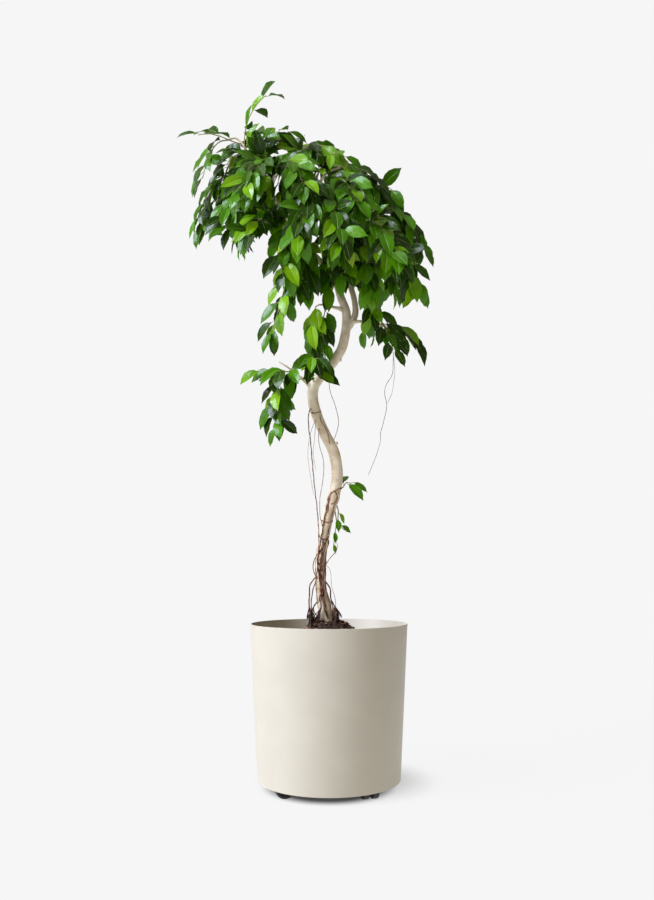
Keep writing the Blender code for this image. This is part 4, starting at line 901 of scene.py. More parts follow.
class Skin:
    """Closed surfaces gathered into one piece, with a value of each attribute at every point."""

    def __init__(self, *surfaces):
        self.points = []
        self.quads = []
        self.triangles = []
        self.values = {}
        self.count = 0
        for surface in surfaces:
            self.add(surface)

    def add(self, surface, **values):
        points, quads, triangles = facing_out(*surface)
        self.points.append(points)
        self.quads.append(quads + self.count)
        self.triangles.append(triangles + self.count)
        self.count += len(points)
        for name, value in values.items():
            full = np.broadcast_to(np.asarray(value, float), len(points))
            self.values.setdefault(name, []).append(full)

    def piece(self, name, material, body, slot, *nodes, sharp=None):
        """Make the mesh and its object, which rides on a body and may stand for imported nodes.

        Edges that turn by more than the sharp angle in degrees stay crisp, where one is given.
        """
        mesh = bpy.data.meshes.new(name)
        faces = np.vstack(self.quads).tolist() + np.vstack(self.triangles).tolist()
        mesh.from_pydata(np.vstack(self.points), [], faces)
        for key, values in self.values.items():
            layer = mesh.attributes.new(key, "FLOAT", "POINT")
            layer.data.foreach_set("value", np.concatenate(values))
        mesh.shade_smooth()
        if sharp is not None:
            mesh.set_sharp_from_angle(angle=math.radians(sharp))
        mesh.materials.append(material)
        made = placed(name, mesh)
        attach(made, body)
        if nodes:
            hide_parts(*nodes)


def rounded_profile(corners):
    """(r, z) points of a profile of (r, z, rounding) corners, with an arc at each rounded one.

    With unit directions p and n from a corner to its neighbours, and half the angle between
    them h, the arc's centre lies at rounding / sin h along the bisector, and the arc touches
    the two sides at rounding / tan h.
    """
    points = []
    share = np.linspace(0.0, 1.0, ARC_POINTS)[:, None]
    for place, (r, z, rounding) in enumerate(corners):
        corner = np.array((r, z))
        if rounding == 0.0:
            points.append(corner)
            continue
        p = unit(np.array(corners[place - 1][:2]) - corner)
        n = unit(np.array(corners[place + 1][:2]) - corner)
        half = math.acos(np.clip(p @ n, -1.0, 1.0)) / 2
        centre = corner + unit(p + n) * rounding / math.sin(half)
        first = corner + p * rounding / math.tan(half) - centre
        last = corner + n * rounding / math.tan(half) - centre
        points.extend(centre + rounding * unit(first * (1 - share) + last * share))
    return points


def linear(hex_color):
    """Turn an sRGB hex colour into the linear colour that a shader takes."""
    parts = [int(hex_color[place:place + 2], 16) / 255.0 for place in (0, 2, 4)]
    shown = [part / 12.92 if part <= 0.04045 else ((part + 0.055) / 1.055) ** 2.4 for part in parts]
    return (*shown, 1.0)


def add(tree, kind, inputs, output=0, **settings):
    """Add a node, set its settings, set or link its inputs, and return one of its outputs."""
    made = tree.nodes.new(kind)
    for name, value in settings.items():
        setattr(made, name, value)
    for name, value in inputs.items():
        if isinstance(value, bpy.types.NodeSocket):
            tree.links.new(value, made.inputs[name])
        else:
            made.inputs[name].default_value = value
    return made.outputs[output]


def finish(name, *noises, **constants):
    """A new material with constants on its shader, its nodes, and its Object coordinates.

    After them come noises on those coordinates, each of a size in metres and a detail.
    """
    made = bpy.data.materials.new(name)
    made.use_nodes = True
    tree = made.node_tree
    for socket, value in constants.items():
        tree.nodes["Principled BSDF"].inputs[socket.replace("_", " ")].default_value = value
    place = add(tree, COORDINATES, {}, "Object")
    values = [add(tree, NOISE, {"Vector": place, "Scale": 1 / size, "Detail": detail})
              for size, detail in noises]
    return made, tree, place, *values


def layered(tree, color, *layers):
    """Lay colours one over another, each where its value rises from one number to the next."""
    for value, start, full, shade in layers:
        share = add(tree, RANGE, {"Value": value, "From Min": start, "From Max": full}, **SMOOTH)
        color = add(tree, MIX, {0: share, 6: color, 7: linear(shade)}, 2, **COLORS)
    return color


def dressed(made, *reliefs, **links):
    """The material, with its reliefs stacked, and them and its other outputs on its shader."""
    tree = made.node_tree
    for height, distance in reliefs:
        below = {"Normal": links["Normal"]} if "Normal" in links else {}
        links["Normal"] = add(tree, BUMP, {"Height": height, "Distance": distance, **below})
    for socket, value in links.items():
        tree.links.new(value, tree.nodes["Principled BSDF"].inputs[socket.replace("_", " ")])
    return made


def powder_coat_finish():
    # Cream polyester powder, sprayed on sheet steel and baked: satin, with a fine orange peel
    # The peel's lumps are 2 mm wide, which is about twice the real ones, so that they show
    cream = finish("cream_powder_coat", (0.080, 2.0), (0.0020, 2.0), Roughness=0.45, IOR=1.5)
    made, tree, place, cloud, peel = cream
    color = layered(tree, linear("CEC6B4"), (cloud, 0.3, 0.7, "CAC2B0"))
    # The inner faces, which look back at the axis, get a lighter colour: painted light on the shaded
    # inside of the wall
    facing = add(tree, COORDINATES, {}, "Normal")
    from_axis = add(tree, VECTORS, {0: place, 1: tuple(-PLANTER_AXIS)}, operation="ADD")
    outward = add(tree, VECTORS, {0: from_axis, 1: facing}, "Value", operation="DOT_PRODUCT")
    inside = add(tree, RANGE, {"Value": outward, "From Min": 0.0, "From Max": -0.10})
    color = add(tree, MIX, {0: inside, 6: color, 7: linear("DFD6C3")}, 2, **COLORS)
    return dressed(made, (peel, 0.00003), Base_Color=color)


def compost_finish():
    # Bark compost: chopped dark bark and fibre, moist below and dusty on top
    made, tree, place, fibre = finish("bark_compost", (0.0022, 4.0), Roughness=0.92)
    lump = add(tree, NOISE, {"Vector": place, "Scale": 1 / 0.009, "Detail": 5.0, "Roughness": 0.65})
    color = layered(tree, linear("1D1610"), (lump, 0.35, 0.65, "43301F"), (fibre, 0.60, 0.72, "7A5B43"))
    return dressed(made, (fibre, 0.0008), (lump, 0.0020), Base_Color=color)


def chip_finish():
    # Pine bark chips: split along their grain, from near black through red-brown to pale wood
    made, tree, place = finish("pine_bark_chips", Roughness=0.85)
    tone = add(tree, ATTRIBUTE, {}, "Fac", attribute_name="chip_tone")
    place = add(tree, MAPPING, {"Vector": place, "Scale": (1.0, 1.0, 3.0)})
    fibre = add(tree, NOISE, {"Vector": place, "Scale": 1 / 0.0012, "Detail": 4.0})
    color = layered(tree, linear("20150F"), (tone, 0.15, 0.65, "6A452D"),
                    (tone, 0.78, 0.96, "BE9A70"), (fibre, 0.45, 0.70, "3A281D"))
    return dressed(made, (fibre, 0.0006), Base_Color=color)


def bark_finish():
    # Fig bark: smooth and pale, with fine cross wrinkles, corky pores and a brown bloom low down
    noises = (0.024, 2.0), (0.013, 5.0)
    made, tree, place, patch, bloom = finish("pale_fig_bark", *noises, Roughness=0.68)
    along, around = (add(tree, ATTRIBUTE, {}, "Fac", attribute_name=name)
                     for name in ("bark_along", "bark_around"))
    wrapped = add(tree, "ShaderNodeCombineXYZ", {"X": around, "Y": along})
    # Wrinkles run round the stem, 1 mm apart and 6 mm long
    lines = add(tree, MAPPING, {"Vector": wrapped, "Scale": (0.16, 1.0, 1.0)})
    wrinkle = add(tree, NOISE, {"Vector": lines, "Scale": 1 / 0.0010, "Detail": 3.0})
    # Pores are short corky lines across the stem, about 2 mm by 0.6 mm
    lines = add(tree, MAPPING, {"Vector": wrapped, "Scale": (0.35, 1.3, 1.0)})
    pore = add(tree, NOISE, {"Vector": lines, "Scale": 1 / 0.0024, "Detail": 1.0})
    color = layered(tree, linear("F0E1C8"), (patch, 0.35, 0.68, "DCC6A6"),
                    (wrinkle, 0.60, 1.40, "B8A086"), (pore, 0.74, 0.90, "96745A"))
    # The bloom is brown lichen and dust, on the lower half of the stem only
    height = add(tree, SPLIT, {0: place}, "Z")
    low = add(tree, RANGE, {"Value": height, "From Min": 0.72, "From Max": 0.50}, **SMOOTH)
    share = add(tree, RANGE, {"Value": bloom, "From Min": 0.45, "From Max": 0.70}, **SMOOTH)
    share = add(tree, MATHS, {0: low, 1: share}, operation="MULTIPLY")
    color = add(tree, MIX, {0: share, 6: color, 7: linear("B89A72")}, 2, **COLORS)
    return dressed(made, (wrinkle, 0.00002), (patch, 0.0004), Base_Color=color)


def root_finish():
    # Aerial roots: thin red-brown skin, hairy and rough, paler where it has rubbed
    noises = (0.012, 4.0), (0.0014, 3.0)
    made, tree, place, patch, skin = finish("root_skin", *noises, Roughness=0.82)
    color = layered(tree, linear("5A3324"), (patch, 0.38, 0.66, "A4755C"), (skin, 0.58, 0.72, "3C2620"))
    # Near the compost the roots are wet and soiled
    height = add(tree, SPLIT, {0: place}, "Z")
    soiled = {"Value": height, "From Min": 0.480, "From Max": 0.435, "To Max": 0.75}
    soiled = add(tree, RANGE, soiled, **SMOOTH)
    color = add(tree, MIX, {0: soiled, 6: color, 7: linear("2B1C15")}, 2, **COLORS)
    return dressed(made, (skin, 0.0003), Base_Color=color)


def leaf_finish():
    # Fig leaf: waxy upper face with a pale midrib and fine side veins, a duller paler underside
    noises = (0.040, 1.0), (0.004, 3.0), (0.012, 1.0)
    leaf = finish("waxy_fig_leaf", *noises, IOR=1.45, Specular_IOR_Level=0.30)
    made, tree, _, patch, grain, ripple = leaf
    tone, across, along, face, wood = (
        add(tree, ATTRIBUTE, {}, "Fac", attribute_name=name)
        for name in ("leaf_tone", "leaf_across", "leaf_along", "leaf_side", "twig_wood"))
    # Each leaf has its own tone, and is a little darker in soft patches
    color = layered(tree, linear("173701"), (tone, 0.05, 0.70, "4A8702"),
                    (tone, 0.72, 0.98, "82B40C"), (tone, 0.97, 1.0, "B4C85A"),
                    (patch, 0.45, 1.10, "1B3A04"))
    # The midrib, the side veins at about 60 degrees and 2.6 mm apart, and the thin pale edge
    width = add(tree, MATHS, {0: across}, operation="ABSOLUTE")
    slant = add(tree, MATHS, {0: width, 1: -0.0085, 2: along}, operation="MULTIPLY_ADD")
    turn = add(tree, MATHS, {0: slant, 1: math.tau / 0.0026}, operation="MULTIPLY")
    wave = add(tree, MATHS, {0: turn}, operation="SINE")
    vein, midrib, edge, top = (
        add(tree, RANGE, {"Value": value, "From Min": start, "From Max": full}, **SMOOTH)
        for value, start, full in ((wave, 0.55, 1.0), (width, 0.08, 0.02), (width, 0.93, 1.30),
                                   (face, -0.2, 0.2)))
    ribs = add(tree, MATHS, {0: vein, 1: 0.16}, operation="MULTIPLY")
    for other in (midrib, edge):
        ribs = add(tree, MATHS, {0: ribs, 1: other}, operation="MAXIMUM")
    pale = add(tree, MIX, {0: 0.30, 6: color, 7: linear("A6C438")}, 2, **COLORS)
    color = add(tree, MIX, {0: ribs, 6: color, 7: pale}, 2, **COLORS)
    # The underside is duller, and has no wax
    under = add(tree, MIX, {0: 0.30, 6: color, 7: linear("6FA028")}, 2, **COLORS)
    color = add(tree, MIX, {0: top, 6: under, 7: color}, 2, **COLORS)
    # Petioles are yellow-green, and the twigs have the young form of the trunk's bark
    bark = add(tree, MIX, {0: grain, 6: linear("86724E"), 7: linear("B9A780")}, 2, **COLORS)
    share = add(tree, RANGE, {"Value": wood, "From Min": 0.5, "From Max": 1.0}, **SMOOTH)
    stalk = add(tree, MIX, {0: share, 6: linear("A6B862"), 7: bark}, 2, **COLORS)
    share = add(tree, RANGE, {"Value": wood, "From Min": 0.05, "From Max": 0.45}, **SMOOTH)
    color = add(tree, MIX, {0: share, 6: color, 7: stalk}, 2, **COLORS)
    wax = add(tree, RANGE, {"Value": top, "To Min": 0.50, "To Max": 0.15})
    rough = add(tree, MATHS, {0: share, 1: 0.6}, operation="MULTIPLY")
    rough = add(tree, MATHS, {0: wax, 1: rough}, operation="MAXIMUM")
    reliefs = (ripple, 0.0006), (vein, -0.0001), (midrib, -0.0004)
    return dressed(made, *reliefs, Base_Color=color, Roughness=rough)


def wheel_finish():
    # Castor wheels: black moulded nylon with a matte tread, grey with floor dust where it rolls
    made, tree, _, dust = finish("black_nylon_wheel", (0.004, 4.0), IOR=1.5)
    color = layered(tree, linear("18181A"), (dust, 0.45, 0.75, "2B2A29"))
    rough = {"Value": dust, "From Min": 0.45, "From Max": 0.75, "To Min": 0.42, "To Max": 0.62}
    rough = add(tree, RANGE, rough, **SMOOTH)
    return dressed(made, (dust, 0.00002), Base_Color=color, Roughness=rough)


def housing_finish():
    # Castor housing: black nylon, moulded in a spark-eroded tool that leaves a fine even grain
    made, tree, _, spark = finish("black_nylon_housing", (0.0007, 2.0), IOR=1.5, Roughness=0.5)
    color = layered(tree, linear("161617"), (spark, 0.4, 0.6, "1F1F20"))
    return dressed(made, (spark, 0.00003), Base_Color=color)


def zinc_finish():
    # Castor plates: pressed steel with bright zinc plating, faintly clouded
    made, tree, _, cloud = finish("zinc_plated_steel", (0.007, 4.0), Metallic=1.0)
    color = layered(tree, linear("B9BBBC"), (cloud, 0.35, 0.65, "9A9DA0"))
    rough = {"Value": cloud, "From Min": 0.35, "From Max": 0.65, "To Min": 0.28, "To Max": 0.46}
    rough = add(tree, RANGE, rough, **SMOOTH)
    return dressed(made, Base_Color=color, Roughness=rough)


def at_axis(points):
    return points + np.array(PLANTER_AXIS)


def shell_radius(height):
    """Outer radius of the planter's straight taper at a height."""
    part = (height - SHELL_BOTTOM) / (SHELL_TOP - SHELL_BOTTOM)
    return FOOT_RADIUS + part * (RIM_RADIUS - FOOT_RADIUS)


def make_planter(coat):
    """The shell and its floor as one turned form, with rounded lip, foot and welds."""
    floor_top = FLOOR_UNDERSIDE + FLOOR_THICKNESS
    profile = rounded_profile((
        (0.0, FLOOR_UNDERSIDE, 0.0),
        (shell_radius(FLOOR_UNDERSIDE) - WALL, FLOOR_UNDERSIDE, WELD_ROUNDING),
        (FOOT_RADIUS - WALL, SHELL_BOTTOM, LIP_ROUNDING),
        (FOOT_RADIUS, SHELL_BOTTOM, LIP_ROUNDING),
        (RIM_RADIUS, SHELL_TOP, LIP_ROUNDING),
        (RIM_RADIUS - WALL, SHELL_TOP, LIP_ROUNDING),
        (shell_radius(floor_top) - WALL, floor_top, WELD_ROUNDING),
        (0.0, floor_top, 0.0),
    ))
    skin = Skin(lofted(at_axis(turned_rings(profile[1:-1], PLANTER_SIDES))))
    skin.piece("planter_shell", coat, "root", "cream_powder_coat", "planter", sharp=50)


def soil_height(radius, x, y):
    """The mound's height at a radius, straight between its points, with lumps of compost.

    The lumps are a sum of cosines of five directions, one set for each size and height.
    """
    edge = shell_radius(SOIL_EDGE_TOP) - WALL
    mound = sorted(SOIL_MOUND + ((edge, SOIL_EDGE_TOP), (0.0, SOIL_MOUND[-1][1])))
    radii, heights = zip(*mound)
    rng = np.random.default_rng(SOIL_SEED)
    rough = np.zeros_like(x)
    for size, height in SOIL_LUMPS:
        for turn in rng.uniform(0.0, math.tau, 5):
            phase = rng.uniform(0.0, math.tau)
            wave = (x * math.cos(turn) + y * math.sin(turn)) * math.tau / size + phase
            rough = rough + np.cos(wave) * height / 5
    return np.interp(radius, radii, heights) + rough - SOIL_SINK


def make_soil(compost):
    """Compost as a turned form: down its side and under, with the lumpy top as rings of radii."""
    bottom = FLOOR_UNDERSIDE + FLOOR_THICKNESS + GAP
    inset = WALL + 3 * GAP
    edge = shell_radius(SOIL_EDGE_TOP) - inset
    side = [(shell_radius(bottom) - inset, bottom), (edge, SOIL_EDGE_TOP - SOIL_EDGE_DROP)]
    top = [(radius, 0.0) for radius in np.linspace(edge, SOIL_LAST_RADIUS, SOIL_RINGS)]
    rings = turned_rings(side + top, SOIL_SIDES)
    x, y = rings[2:, :, 0], rings[2:, :, 1]
    rings[2:, :, 2] = soil_height(np.hypot(x, y), x, y)
    Skin(lofted(at_axis(rings))).piece("compost", compost, "root", "bark_soil", "soil")


def make_chips(chips):
    """Bark chips: flat six-sided slabs, each corner moved by chance, laid on the compost.

    A corner is centre + width * (along cos a + across sin a * breadth) + normal * level, and the
    field is fuller than an even one towards the stem.
    """
    rng = np.random.default_rng(CHIP_SEED)
    radius = CHIP_FIELD[0] + CHIP_FIELD[1] * rng.uniform(0.0, 1.0, CHIP_COUNT) ** CHIP_THINNING
    turn = rng.uniform(0.0, math.tau, CHIP_COUNT)
    x, y = radius * np.cos(turn), radius * np.sin(turn)
    size = rng.uniform(*CHIP_SIZES, CHIP_COUNT) * np.where(radius > WALL_CHIPS[0], WALL_CHIPS[1], 1.0)
    centres = np.stack([x, y, soil_height(radius, x, y) + CHIP_LIFT], -1)[:, None, None]
    heading = rng.uniform(0.0, math.tau, CHIP_COUNT)
    slope = rng.uniform(*CHIP_SLOPES, CHIP_COUNT)
    along = unit(np.stack([np.cos(heading), np.sin(heading), slope], -1))[:, None, None]
    normal = np.array([0.0, 0.0, 1.0]) + rng.normal(0.0, CHIP_TIPPING, (CHIP_COUNT, 3))
    normal = unit(normal)[:, None, None]
    across = unit(np.cross(normal, along))
    normal = np.cross(along, across)
    corner = even_turns(6)
    size = size[:, None, None]
    wide = np.array(CHIP_WIDTHS)[None, :, None] * rng.uniform(*CHIP_CORNERS, (CHIP_COUNT, 1, 6))
    wide = wide * size
    thick = size * rng.uniform(*CHIP_THICKNESSES, CHIP_COUNT)[:, None, None]
    thick = np.array(CHIP_LEVELS)[None, :, None] * thick
    slender = rng.uniform(*CHIP_BREADTHS, CHIP_COUNT)[:, None, None]
    spoke = along * np.cos(corner)[:, None] + across * (np.sin(corner) * slender)[..., None]
    rings = centres + wide[..., None] * spoke + normal * thick[..., None]
    skin = Skin()
    for chip, tone in zip(at_axis(rings), rng.uniform(0.0, 1.0, CHIP_COUNT)):
        skin.add(lofted(chip), chip_tone=tone)
    skin.piece("bark_chips", chips, "root", "bark_soil")


def bark_tube(skin, route, sides, step, scar_seed, collar=0.0):
    """A limb: rings round its smooth route, with leaf scars, a collar at its foot and a shut tip.

    At a distance d the radius is r (1 + flutes + scars) + collar * f * exp(-d / 2.5 f), with f the
    radius at the foot. Flutes are slow waves, height * cos(waves a + rise d + phase), at the angle
    a, and each scar is a bell.
    """
    curve = smooth_route(route, step)
    centres, radii = curve[:, :3], curve[:, 3]
    along = lengths_along(centres)
    rng = np.random.default_rng(scar_seed)
    scars = np.arange(FIRST_SCAR, along[-1], SCAR_SPACING)
    scars = scars + rng.uniform(-SCAR_WANDER, SCAR_WANDER, len(scars))
    bell = np.exp(-((along[:, None] - scars[None]) / SCAR_LENGTH) ** 2).sum(1)
    angles = even_turns(sides)
    flutes = 0.0
    for (height, waves, rise), phase in zip(FLUTES, rng.uniform(0.0, math.tau, len(FLUTES))):
        flutes = flutes + height * np.cos(waves * angles[None] + along[:, None] * rise + phase)
    around = radii[:, None] * (1.0 + flutes + SCAR_HEIGHT * bell[:, None])
    around = around + collar * radii[0] * np.exp(-along / (2.5 * radii[0]))[:, None]
    turns = np.tile(angles, len(along)) * np.repeat(radii, sides)
    skin.add(lofted(swept_rings(at_axis(centres), around, sides)),
             bark_along=np.concatenate([np.repeat(along, sides), along[[0, -1]]]),
             bark_around=np.concatenate([turns, [0.0, 0.0]]))


def make_limbs(bark):
    """The stem runs on into the leader as one tube, and every other limb grows out of its own."""
    skin = Skin()
    bark_tube(skin, LIMBS["stem"][1][:-1] + LIMBS["leader"][1][1:], STEM_SIDES, STEM_STEP, 1)
    for place, (name, (_, route)) in enumerate(LIMBS.items()):
        if name not in ("stem", "leader"):
            sides = SECOND_STEM_SIDES if name == "second_stem" else LIMB_SIDES
            collar = LIMB_COLLAR if "limb" in name or "fork" in name else STUB_COLLAR
            bark_tube(skin, route, sides, LIMB_STEP, 10 + place, collar)
    skin.piece("stem_and_limbs", bark, "root", "pale_bark", "trunk")


def route_at(route, height):
    """Middle (x, y) and radius of a rising or falling route at a height, on its smooth curve."""
    curve = smooth_route(route, LIMB_STEP)
    order = np.argsort(curve[:, 2])
    return [np.interp(height, curve[order, 2], curve[order, k]) for k in (0, 1, 3)]


def clinging_route(heights, turns, radius, proud=0.6):
    """A root's route on the stem: middle + (stem's radius + proud * radius) * (cos a, sin a)."""
    heights = np.asarray(heights, float)
    turns = np.radians(np.asarray(turns, float))
    x, y, stem_radius = route_at(LIMBS["stem"][1], heights)
    reach = stem_radius + radius * proud
    return np.column_stack([x + reach * np.cos(turns), y + reach * np.sin(turns), heights,
                            np.full(len(heights), radius)])


def root_tube(skin, route, seed, sides=8, step=ROOT_STEP):
    """A root: rings round a route that wavers, with knots along it and a taper at both ends.

    At step n the radius is r (1 + knots * cos(0.9 n + phase) cos 0.23 n), and x, y and z each
    leave the smooth route by a slow cosine of n, as a share of the radius.
    """
    curve = smooth_route(route, step)
    rng = np.random.default_rng(seed)
    count = len(curve)
    place = np.arange(count)
    waver = [np.cos(place * rng.uniform(0.25, 0.6) + rng.uniform(0, 6)) for _ in range(3)]
    centres = curve[:, :3] + np.stack(waver, -1) * curve[:, 3:] * ROOT_WAVER
    rough = 1.0 + ROOT_KNOTS * np.cos(place * 0.9 + rng.uniform(0, 6)) * np.cos(place * 0.23)
    taper = np.minimum(1.0, np.minimum(place, count - 1 - place) / ROOT_TAPER + ROOT_TIP)
    skin.add(lofted(swept_rings(at_axis(centres), curve[:, 3] * rough * taper, sides)))


def strand_route(rng):
    """A thin root that winds down the lower stem and then leaves it for the soil."""
    heights = np.linspace(rng.uniform(*STRAND_TOPS), STRAND_END, STRAND_POINTS)
    winding = rng.uniform(-180, 180)
    turns = winding + np.cumsum(rng.uniform(-STRAND_WINDING, STRAND_WINDING, STRAND_POINTS))
    radius = rng.uniform(*STRAND_RADII)
    foot = math.radians(turns[-1])
    reach = rng.uniform(*STRAND_REACHES)
    middle_x, middle_y, _ = route_at(LIMBS["stem"][1], STRAND_FOOT)
    x, y = middle_x + reach * math.cos(foot), middle_y + reach * math.sin(foot)
    ground = [x, y, soil_height(reach, x, y) - STRAND_DEPTH, radius]
    return np.vstack([clinging_route(heights, turns, radius), ground])


def tuft_route(rng, parents, middle, spread, tops):
    """A fine root of a tuft: a wavering line from one of its parent roots down into the compost."""
    height = rng.uniform(*tops)
    x, y, _ = route_at(ROOTS[parents[rng.integers(len(parents))]], height)
    foot = np.array(middle) + rng.normal(0.0, TUFT_SCATTER, 2) * spread
    count = len(TUFT_SHARES)
    share = np.array(TUFT_SHARES)[:, None]
    places = np.array((x, y)) * (1 - share) + foot * share
    places[1:] = places[1:] + rng.normal(0.0, TUFT_WAVER, (count - 1, 2))
    heights = np.linspace(height, TUFT_END, count)
    return np.column_stack([places, heights, np.full(count, rng.uniform(*TUFT_RADII))])


def make_roots(skin_of_roots):
    """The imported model's aerial roots, and finer ones that wrap, cling to and hang by the stem.

    Each kind of root has a first seed of its own.
    """
    skin = Skin()
    for place, route in enumerate(ROOTS.values()):
        root_tube(skin, np.array(route) * (1.0, 1.0, 1.0, ROOT_SLIMNESS), place)
    for place, wrap in enumerate(WRAPS):
        root_tube(skin, clinging_route(*wrap), 40 + place)
    rng = np.random.default_rng(STRAND_SEED)
    for strand in range(STRAND_COUNT):
        root_tube(skin, strand_route(rng), 60 + strand)
    for place, route in enumerate(HAIR_ROOTS):
        root_tube(skin, route, 90 + place, sides=6, step=HAIR_STEP)
    for *tuft, count in TUFTS:
        for strand in range(count):
            root_tube(skin, tuft_route(rng, *tuft), 120 + strand, sides=6)
    skin.piece("aerial_roots", skin_of_roots, "root", "pale_bark", "trunk")


def blade_width(t):
    """Half width along the blade, 1 at most: sin(pi t^0.82)^0.80, drawn in to a drip tip.

    Over the blade's last fifth it smoothly loses 0.55 of itself.
    """
    full = np.sin(np.pi * t ** 0.82) ** 0.80
    drawn = np.clip((t - 0.80) / 0.18, 0.0, 1.0)
    return full * (1.0 - 0.55 * drawn ** 2 * (3 - 2 * drawn))


def turned_to(start, end, vectors):
    """Vectors turned as the unit vector start turns to end: v + w x v + w x (w x v) / (1 + c).

    Here w is start x end, and c is start . end.
    """
    w = np.cross(start, end)
    c = np.einsum("ij,ij->i", start, end)[:, None]
    once = np.cross(w, vectors)
    return vectors + once + np.cross(w, once) / (1.0 + c)


def fine_leaves(leaves, rng):
    """Rings (leaf, ring, corner, xyz) of every leaf: its bent petiole, then its blade.

    A petiole follows the curve n (1-t)^2 + 2 c t (1-t) + b t^2 from node n to blade base b, where
    c stands behind b on the blade's line. The blade's midrib is an arc that bows down by an angle.
    Its cross-section at t is a V that rises by w |s| sin(fold), with waved edges, as thick in the
    middle as BLADE_THICKNESS.
    """
    value = {key: np.array([leaf[key] for leaf in leaves], float) for key in leaves[0]}
    node, base, ahead, up, across = (value[key] for key in ("node", "base", "ahead", "up", "across"))
    bow, length, widest = (value[key][:, None, None] for key in ("bow", "length", "half_width"))
    bend = base - ahead * np.linalg.norm(base - node, axis=1)[:, None] * PETIOLE_BEND
    angles = np.arctan2(BLADE_SIDE, BLADE_ACROSS)
    petiole = []
    for t in PETIOLE_STATIONS:
        centre = node * (1 - t) ** 2 + bend * 2 * t * (1 - t) + base * t * t
        tangent = unit((bend - node) * (1 - t) + (base - bend) * t + unit(base - node) * 1e-6)
        turn = spokes(turned_to(ahead, tangent, across), turned_to(ahead, tangent, up), angles)
        petiole.append(centre[:, None] + PETIOLE_RADIUS * turn)
    t = BLADE_STATIONS[None, :, None]
    base, ahead, up, across = (vectors[:, None, None] for vectors in (base, ahead, up, across))
    half = np.maximum(widest * blade_width(t), LEAST_HALF_WIDTH)
    forth, down = length / bow * np.sin(bow * t), length / bow * (1 - np.cos(bow * t))
    middle = base + ahead * forth[..., None] - up * down[..., None]
    normal = up * np.cos(bow * t)[..., None] + ahead * np.sin(bow * t)[..., None]
    s = BLADE_ACROSS[None, None, :]
    fold, phase, waves = (rng.uniform(*limits, (len(leaves), 1, 1))
                          for limits in (BLADE_FOLDS, (0.0, math.tau), EDGE_WAVES))
    wave = EDGE_WAVE * np.sin(math.tau * waves * t + phase + EDGE_SHIFT * np.sign(s)) * s ** 2
    cup = np.abs(s) * half * np.sin(fold) + wave * half / widest
    cup = cup + BLADE_SIDE * BLADE_THICKNESS / 2
    reach = s * half * np.cos(fold * np.abs(s))
    blade = middle + across * reach[..., None] + normal * cup[..., None]
    return np.concatenate([np.stack(petiole, 1), blade], axis=1)


def leaf_surface(rings):
    """Points and faces of many leaves at once: one leaf's faces, moved on for every leaf.

    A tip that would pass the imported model's box is pressed back to it, which is 1 mm at most.
    """
    count = len(rings)
    points, quads, triangles = lofted(rings[0])
    stalk = rings[:, 0].mean(1)[:, None]
    tip = rings[:, -1].mean(1)
    tip = (tip + unit(tip - rings[:, -2].mean(1)) * DRIP_TIP)[:, None]
    offsets = (np.arange(count) * len(points))[:, None, None]
    points = np.concatenate([rings.reshape(count, -1, 3), stalk, tip], axis=1)
    return (np.clip(points, *CAD_BOX).reshape(-1, 3), (quads[None] + offsets).reshape(-1, 4),
            (triangles[None] + offsets).reshape(-1, 3))


def leaf_values(by_ring, by_corner, stalk_end, tip):
    """One leaf's values: one for each ring times one for each corner, then those of its ends."""
    return np.concatenate([np.outer(by_ring, by_corner).ravel(), [stalk_end, tip]])


def make_leafy_twig(name, frames, leaves, leaf_green, rng):
    """A twig's fine piece: its round twig, and all of its leaves with their attributes."""
    skin = Skin()
    start = frames[0][0] - frames[0][1] * TWIG_REACH_IN
    centres = np.array([start] + [place[0] for place in frames])
    radii = np.array([frames[0][4]] + [place[4] for place in frames]) * TWIG_SLIMNESS
    radii[-1] = TWIG_POINT
    rings = swept_rings(centres, radii, TWIG_SIDES)
    wood = np.repeat(np.linspace(*TWIG_WOOD, len(rings)), TWIG_SIDES)
    wood = np.concatenate([wood, TWIG_WOOD])
    skin.add(lofted(rings), leaf_tone=0.0, leaf_along=-1.0, leaf_across=0.0, leaf_side=1.0,
             twig_wood=wood)
    rings = fine_leaves(leaves, rng)
    count = len(leaves)
    on_petiole = np.arange(rings.shape[1]) < len(PETIOLE_STATIONS)
    all_rings, all_corners = np.ones(rings.shape[1]), np.ones(rings.shape[2])
    stations = np.concatenate([[-1.0] * len(PETIOLE_STATIONS), BLADE_STATIONS])
    lengths = np.array([leaf["length"] for leaf in leaves])
    along = np.outer(lengths, leaf_values(stations, all_corners, -1.0, 1.0)).ravel()
    across = leaf_values(all_rings, BLADE_ACROSS, 0.0, 0.0)
    face = leaf_values(all_rings, BLADE_SIDE, 0.0, 0.0)
    stalk = leaf_values(0.5 * on_petiole, all_corners, 0.5, 0.0)
    tones = rng.uniform(0.0, 1.0, count) ** TONE_POWER
    if name in YOUNG_SPRIGS:
        tones = YOUNG_TONE + (1.0 - YOUNG_TONE) * tones
    skin.add(leaf_surface(rings), leaf_tone=np.repeat(tones, len(across)), leaf_along=along,
             leaf_across=np.tile(across, count), leaf_side=np.tile(face, count),
             twig_wood=np.tile(stalk, count))
    stands_for = [name] if name in frame["nodes"] else []
    skin.piece(f"leaves_{name}", leaf_green, "root", "leaf_green", *stands_for, sharp=18)


